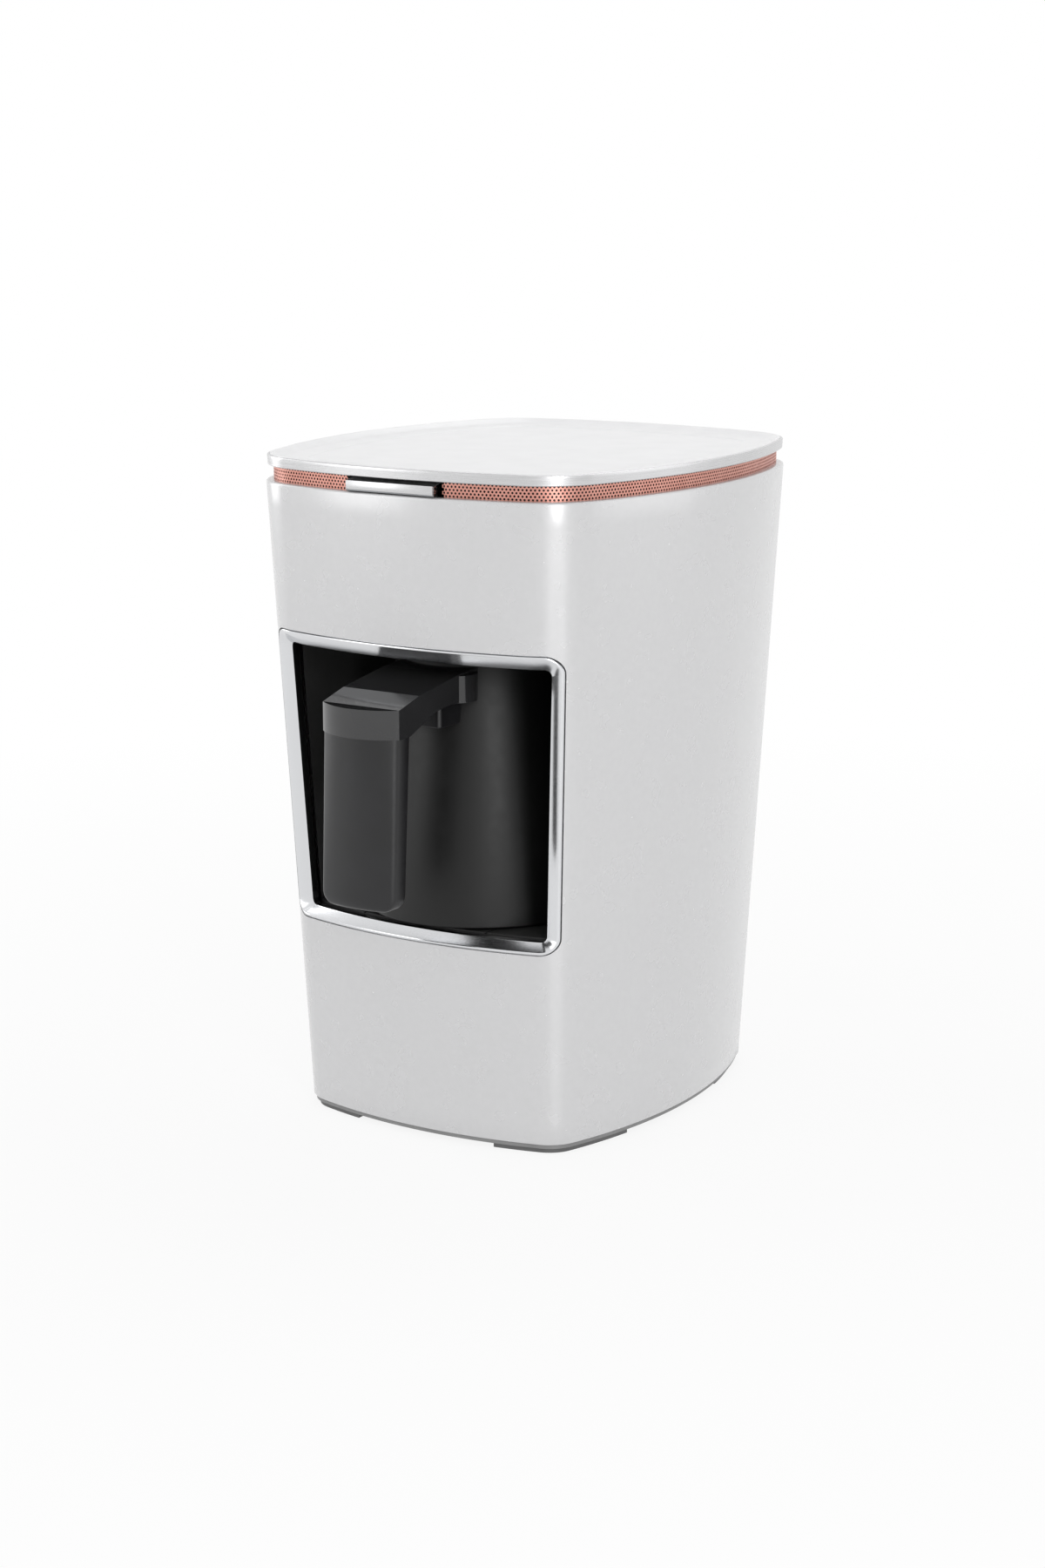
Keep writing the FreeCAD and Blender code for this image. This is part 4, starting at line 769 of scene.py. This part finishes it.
brow = [(ARM["corner_front"] + 0.1, ARM["high"]), (-111.5, 192.0), (-83.3, 196.1)]
rear = [(-66.0, 197.3), (-66.0, 184.5)]
belly = curve([(-83.4, 184.5), (-88.0, 184.8), (-98.6, 183.8), (-106.4, 181.2), (-116.0, 177.5)], 5)
arm_profile = brow + rear + belly + [(-118.5, ARM["low"])]
slices = []
for step in range(ARM["slices"] + 1):
    x = ARM["half"] * (2 * step / ARM["slices"] - 1)
    nose = ARM["corner_front"] - bulge(x, ARM["half"], ARM["bulge"])
    outline = [(nose, ARM["low"]), (nose, ARM["high"])] + arm_profile
    slices.append([Vector((x, y + AXIS_Y, z)) * MM for y, z in outline])
arm = rolled("handle_arm_polished", slices)
fill_ends(arm)
for side in (-1, 1):
    bpy.ops.object.select_all(action="DESELECT")
    bpy.ops.mesh.primitive_cylinder_add(
        vertices=144, radius=DRUM["radius"] * MM, depth=DRUM["tall"] * MM,
        location=(side * DRUM["aside"] * MM, (AXIS_Y + DRUM["along"]) * MM, DRUM["middle"] * MM),
    )
    boolean(arm, bpy.context.object, "UNION")
boolean(arm, pot_cone(POT_SEAT), "DIFFERENCE")
round_edges(arm, 0.3, 2, 24)
finish_piece(arm, FINISHES["black_gloss"], "pot", "handle_arm", 3.6)

# %% [markdown]
# The grip hangs from the arm. It is a stack of flat loops: an arc in front, soft corners, straight
# sides and a flat back. Near its foot the loops get narrower, which rounds the lower corners.

# %% Grip
GRIP = {
    "half_low": 17.7, "half_top": 18.1, "widest": 18.0, "front_low": -129.2, "front_top": -125.7,
    "bulge_low": 3.2, "bulge_top": 6.3, "thick": 8.2, "corner": 6.0, "foot_round": 0.9,
    "back_round": 1.6, "side_start": 2.2, "arc_share": 0.9, "arc_steps": 28, "rows": 8,
}
GRIP_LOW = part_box("handle_grip")[0][2] / MM
GRIP_HIGH = ARM["low"] - 0.05


def bend(start, corner, end, steps=5):
    """Points of a soft corner, without the last."""
    points = []
    for step in range(steps):
        t = step / steps
        points.append(tuple(
            a * (1 - t) ** 2 + 2 * b * t * (1 - t) + c * t * t for a, b, c in zip(start, corner, end)
        ))
    return points


def grip_loop(level):
    """The outline of the grip at a level, anticlockwise from the left of its front."""
    share = (level - GRIP_LOW) / (GRIP_HIGH - GRIP_LOW)
    rise = level - GRIP_LOW
    half = GRIP["half_low"] + (GRIP["half_top"] - GRIP["half_low"]) * share
    if rise < GRIP["corner"]:
        half -= GRIP["corner"] - math.sqrt(GRIP["corner"] ** 2 - (GRIP["corner"] - rise) ** 2)
    soft = GRIP["foot_round"] * (1 - math.sqrt(min(rise / GRIP["foot_round"], 1.0)))
    front = GRIP["front_low"] + (GRIP["front_top"] - GRIP["front_low"]) * share
    depth = GRIP["bulge_low"] + (GRIP["bulge_top"] - GRIP["bulge_low"]) * share
    depth *= (half / GRIP["widest"]) ** 2
    back = front + GRIP["thick"] - soft
    end = GRIP["arc_share"] * half
    run = [end * (2 * step / GRIP["arc_steps"] - 1) for step in range(GRIP["arc_steps"] + 1)]
    points = [(x, front - bulge(x, half, depth) + soft) for x in run]
    last = points.pop()
    side = front + GRIP["side_start"]
    turn = GRIP["back_round"]
    points += bend(last, (half, front + soft), (half, side))
    points += bend((half, back - turn), (half, back), (half - turn, back))
    points += bend((turn - half, back), (-half, back), (-half, back - turn))
    points += bend((-half, side), (-half, front + soft), (-last[0], last[1]))
    return [Vector((x, y + AXIS_Y, level)) * MM for x, y in points]


# The loops lie close together where the foot turns, and evenly above it.
rises = [0.0, 0.15, 0.4, 0.9, 1.6, 2.5, 3.6, 4.8, GRIP["corner"]]
straight = GRIP_HIGH - GRIP_LOW - GRIP["corner"]
rises += [GRIP["corner"] + straight * step / GRIP["rows"] for step in range(1, GRIP["rows"] + 1)]
grip = rolled("handle_grip_satin", [grip_loop(GRIP_LOW + rise) for rise in rises])
fill_ends(grip)
finish_piece(grip, FINISHES["black_satin"], "pot", "handle_grip", 40)

# %% [markdown]
# The pot is a black cone, open at the top. A cone primitive gives the outside. Its top face is
# inset for the wall and pushed down to hollow it, and the rim is rounded by a bevel.

# %% Pot
pot = pot_cone(0)
pot.name = "pot_body_polished"
settle(pot)
bpy.ops.object.mode_set(mode="EDIT")
bpy.ops.mesh.select_mode(type="FACE")
bpy.ops.mesh.select_all(action="DESELECT")
bpy.ops.object.mode_set(mode="OBJECT")
for face in pot.data.polygons:
    face.select = face.normal.z > 0.9
bpy.ops.object.mode_set(mode="EDIT")
bpy.ops.mesh.inset(thickness=POT["wall"] * MM)
bpy.ops.mesh.extrude_region_move(TRANSFORM_OT_translate={"value": (0, 0, -(pot_tall - POT["floor"] * MM))})
inner = POT["base"] - POT["wall"] - (POT["base"] - POT["rim"]) * POT["floor"] * MM / pot_tall
widen = inner / (POT["rim"] - POT["wall"])
bpy.ops.transform.resize(value=(widen, widen, 1), center_override=(0, pot_centre, 0))
bpy.ops.object.mode_set(mode="OBJECT")
round_edges(pot, 0.7, 3, 50)
finish_piece(pot, POT_COATING, "pot", "pot_body")

# %% [markdown]
# The button's face is a bright brushed plate let into the dark bar. It is a thin block with its
# edges rounded, standing a hair in front of the bar. It sits above the bar's lower edge, so a thin
# strip of the dark bar shows below it as painted shade, the shadow line under the face.

# %% Button face
# The face's level leaves a thin strip of the dark bar below it, painted shade for the shadow line under the
# face.
FACE = {"long": 41.4, "thick": 0.5, "tall": 3.5, "ahead": 0.05, "level": 2.45}
bar_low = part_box("start_button")[0]
bpy.ops.object.select_all(action="DESELECT")
bpy.ops.mesh.primitive_cube_add(
    size=1, location=(0, bar_low[1] - FACE["ahead"] * MM, bar_low[2] + FACE["level"] * MM),
)
plate = bpy.context.object
plate.name = "button_face_brushed"
plate.scale = (FACE["long"] * MM, FACE["thick"] * MM, FACE["tall"] * MM)
settle(plate)
round_edges(plate, 0.12, 2)
finish_piece(plate, FINISHES["brushed_trim"], "button")

# %% [markdown]
# The camera stands where the photographer's stood: 32 degrees to the right of the front and 13
# degrees above, about 1.3 m away, with a lens that the housing's own perspective gives.

# %% Camera
AZIMUTH = math.radians(32.34)
ELEVATION = math.radians(12.56)
DISTANCE = 1272.77
FOCUS_LEVEL = 133.45
ASIDE = -3.667
PHOTO_LONG_SIDE = 1800
FOCAL_PIXELS = 3389.37

flat = math.cos(ELEVATION)
back = Vector((math.sin(AZIMUTH) * flat, -math.cos(AZIMUTH) * flat, math.sin(ELEVATION)))
right = Vector((math.cos(AZIMUTH), math.sin(AZIMUTH), 0))
target = Vector((0, AXIS_Y, FOCUS_LEVEL)) + right * ASIDE
bpy.ops.object.camera_add(location=(target + back * DISTANCE) * MM)
camera = bpy.context.object
camera.rotation_euler = back.to_track_quat("Z", "Y").to_euler()
camera.data.sensor_width = 36
camera.data.lens = FOCAL_PIXELS * camera.data.sensor_width / PHOTO_LONG_SIDE
bpy.context.scene.camera = camera
print("lens:", round(camera.data.lens, 2))

# %% [markdown]
# The light is that of a white studio. Tall soft panels stand to the left, at the front left, before
# the right front corner and at the rear right, and one hangs above and behind. The corner's panel
# is narrow, so that it leaves a thin bright line along the corner.

# %% Lights
PANEL_DISTANCE = 1.7
PANEL_TALL = 1.9
AIM = (0, 0, 0.15)


def panel(name, place, size, power):
    """A soft panel of light that looks at the middle of the object."""
    bpy.ops.object.light_add(type="AREA", location=place)
    lamp = bpy.context.object
    lamp.name = name
    lamp.data.shape = "RECTANGLE"
    lamp.data.size, lamp.data.size_y = size
    lamp.data.energy = power
    lamp.rotation_euler = (Vector(place) - Vector(AIM)).to_track_quat("Z", "Y").to_euler()


def standing(degrees, height):
    """A place round the object at an angle from its front, positive to its right."""
    angle = math.radians(degrees)
    return (PANEL_DISTANCE * math.sin(angle), -PANEL_DISTANCE * math.cos(angle), height)


panel("left_panel", standing(-86, 0.45), (0.7, PANEL_TALL), 9)
panel("front_left_panel", standing(-40, 0.35), (0.6, PANEL_TALL), 6)
panel("corner_panel", standing(50, 0.35), (0.3, PANEL_TALL), 13)
panel("rear_right_panel", standing(122, 0.35), (0.9, PANEL_TALL), 3.5)
panel("top_panel", (0.0, 0.9, 1.6), (1.2, 1.2), 6)

# %% [markdown]
# The world has two strengths. Where it only lights the object it is dim, and a little dimmer
# behind than in front. Where it is seen, by the camera, in a glossy surface or through glass, it
# is plain white. That makes the background white with no more light on the object.

# %% World
def background_rays(tree):
    """One for rays that show the background: to the camera, in gloss and through glass."""
    ray = add(tree, "ShaderNodeLightPath")
    straight = add(tree, "ShaderNodeMath", {
        0: ray.outputs["Is Camera Ray"], 1: ray.outputs["Is Glossy Ray"],
    }, operation="MAXIMUM")
    every = add(tree, "ShaderNodeMath", {
        0: straight.outputs["Value"], 1: ray.outputs["Is Transmission Ray"],
    }, operation="MAXIMUM")
    return every.outputs["Value"]


world = bpy.data.worlds.new("studio")
bpy.context.scene.world = world
world.use_nodes = True
tree = world.node_tree
tree.nodes.clear()
way = add(tree, "ShaderNodeTexCoord")
axes = add(tree, "ShaderNodeSeparateXYZ", {"Vector": way.outputs["Generated"]})
strength = add(tree, "ShaderNodeMapRange", {
    "Value": axes.outputs["Y"], "From Min": 0.2, "From Max": 0.95, "To Min": 0.6, "To Max": 0.44,
})
room = add(tree, "ShaderNodeBackground", {"Color": linear("#FFFFFF"), "Strength": strength.outputs["Result"]})
white = add(tree, "ShaderNodeBackground", {"Color": linear("#FFFFFF"), "Strength": 1.0})
mix = add(tree, "ShaderNodeMixShader", {
    "Fac": background_rays(tree), 1: room.outputs["Background"], 2: white.outputs["Background"],
})
add(tree, "ShaderNodeOutputWorld", {"Surface": mix.outputs["Shader"]})

# %% [markdown]
# The floor is a wide disc of white paper. Its paper shows a little near the object, where it keeps
# the shadow, and fades out with distance into the white of the world. The panels reach below it,
# so it doesn't stop their light.

# %% Floor
bpy.ops.object.select_all(action="DESELECT")
bpy.ops.mesh.primitive_circle_add(vertices=96, radius=3.0, fill_type="NGON", location=(0, 0, 0))
floor = bpy.context.object
floor.name = "studio_floor"
material = bpy.data.materials.new("white_studio_paper")
material.use_nodes = True
tree = material.node_tree
shader = tree.nodes["Principled BSDF"]
shader.inputs["Base Color"].default_value = linear("#E6E6E6")
shader.inputs["Roughness"].default_value = 0.8
place = tree.nodes.new("ShaderNodeTexCoord").outputs["Object"]
away = add(tree, "ShaderNodeVectorMath", {0: place}, operation="LENGTH").outputs["Value"]
pale = add(tree, "ShaderNodeMapRange", {
    "Value": away, "From Min": 0.2, "From Max": 0.8, "To Min": 0.88, "To Max": 1.0,
})
seen = add(tree, "ShaderNodeMath", {
    0: background_rays(tree), 1: pale.outputs["Result"],
}, operation="MULTIPLY")
glow = add(tree, "ShaderNodeEmission", {"Color": linear("#FFFFFF"), "Strength": 1.0})
mix = add(tree, "ShaderNodeMixShader", {
    "Fac": seen.outputs["Value"], 1: shader.outputs["BSDF"], 2: glow.outputs["Emission"],
})
tree.links.new(mix.outputs["Shader"], tree.nodes["Material Output"].inputs["Surface"])
floor.data.materials.append(material)
floor.visible_shadow = False

# %% [markdown]
# The colours are shown as they are written, so the view transform is the plain one.

# %% Finish
bpy.context.scene.view_settings.view_transform = "Standard"
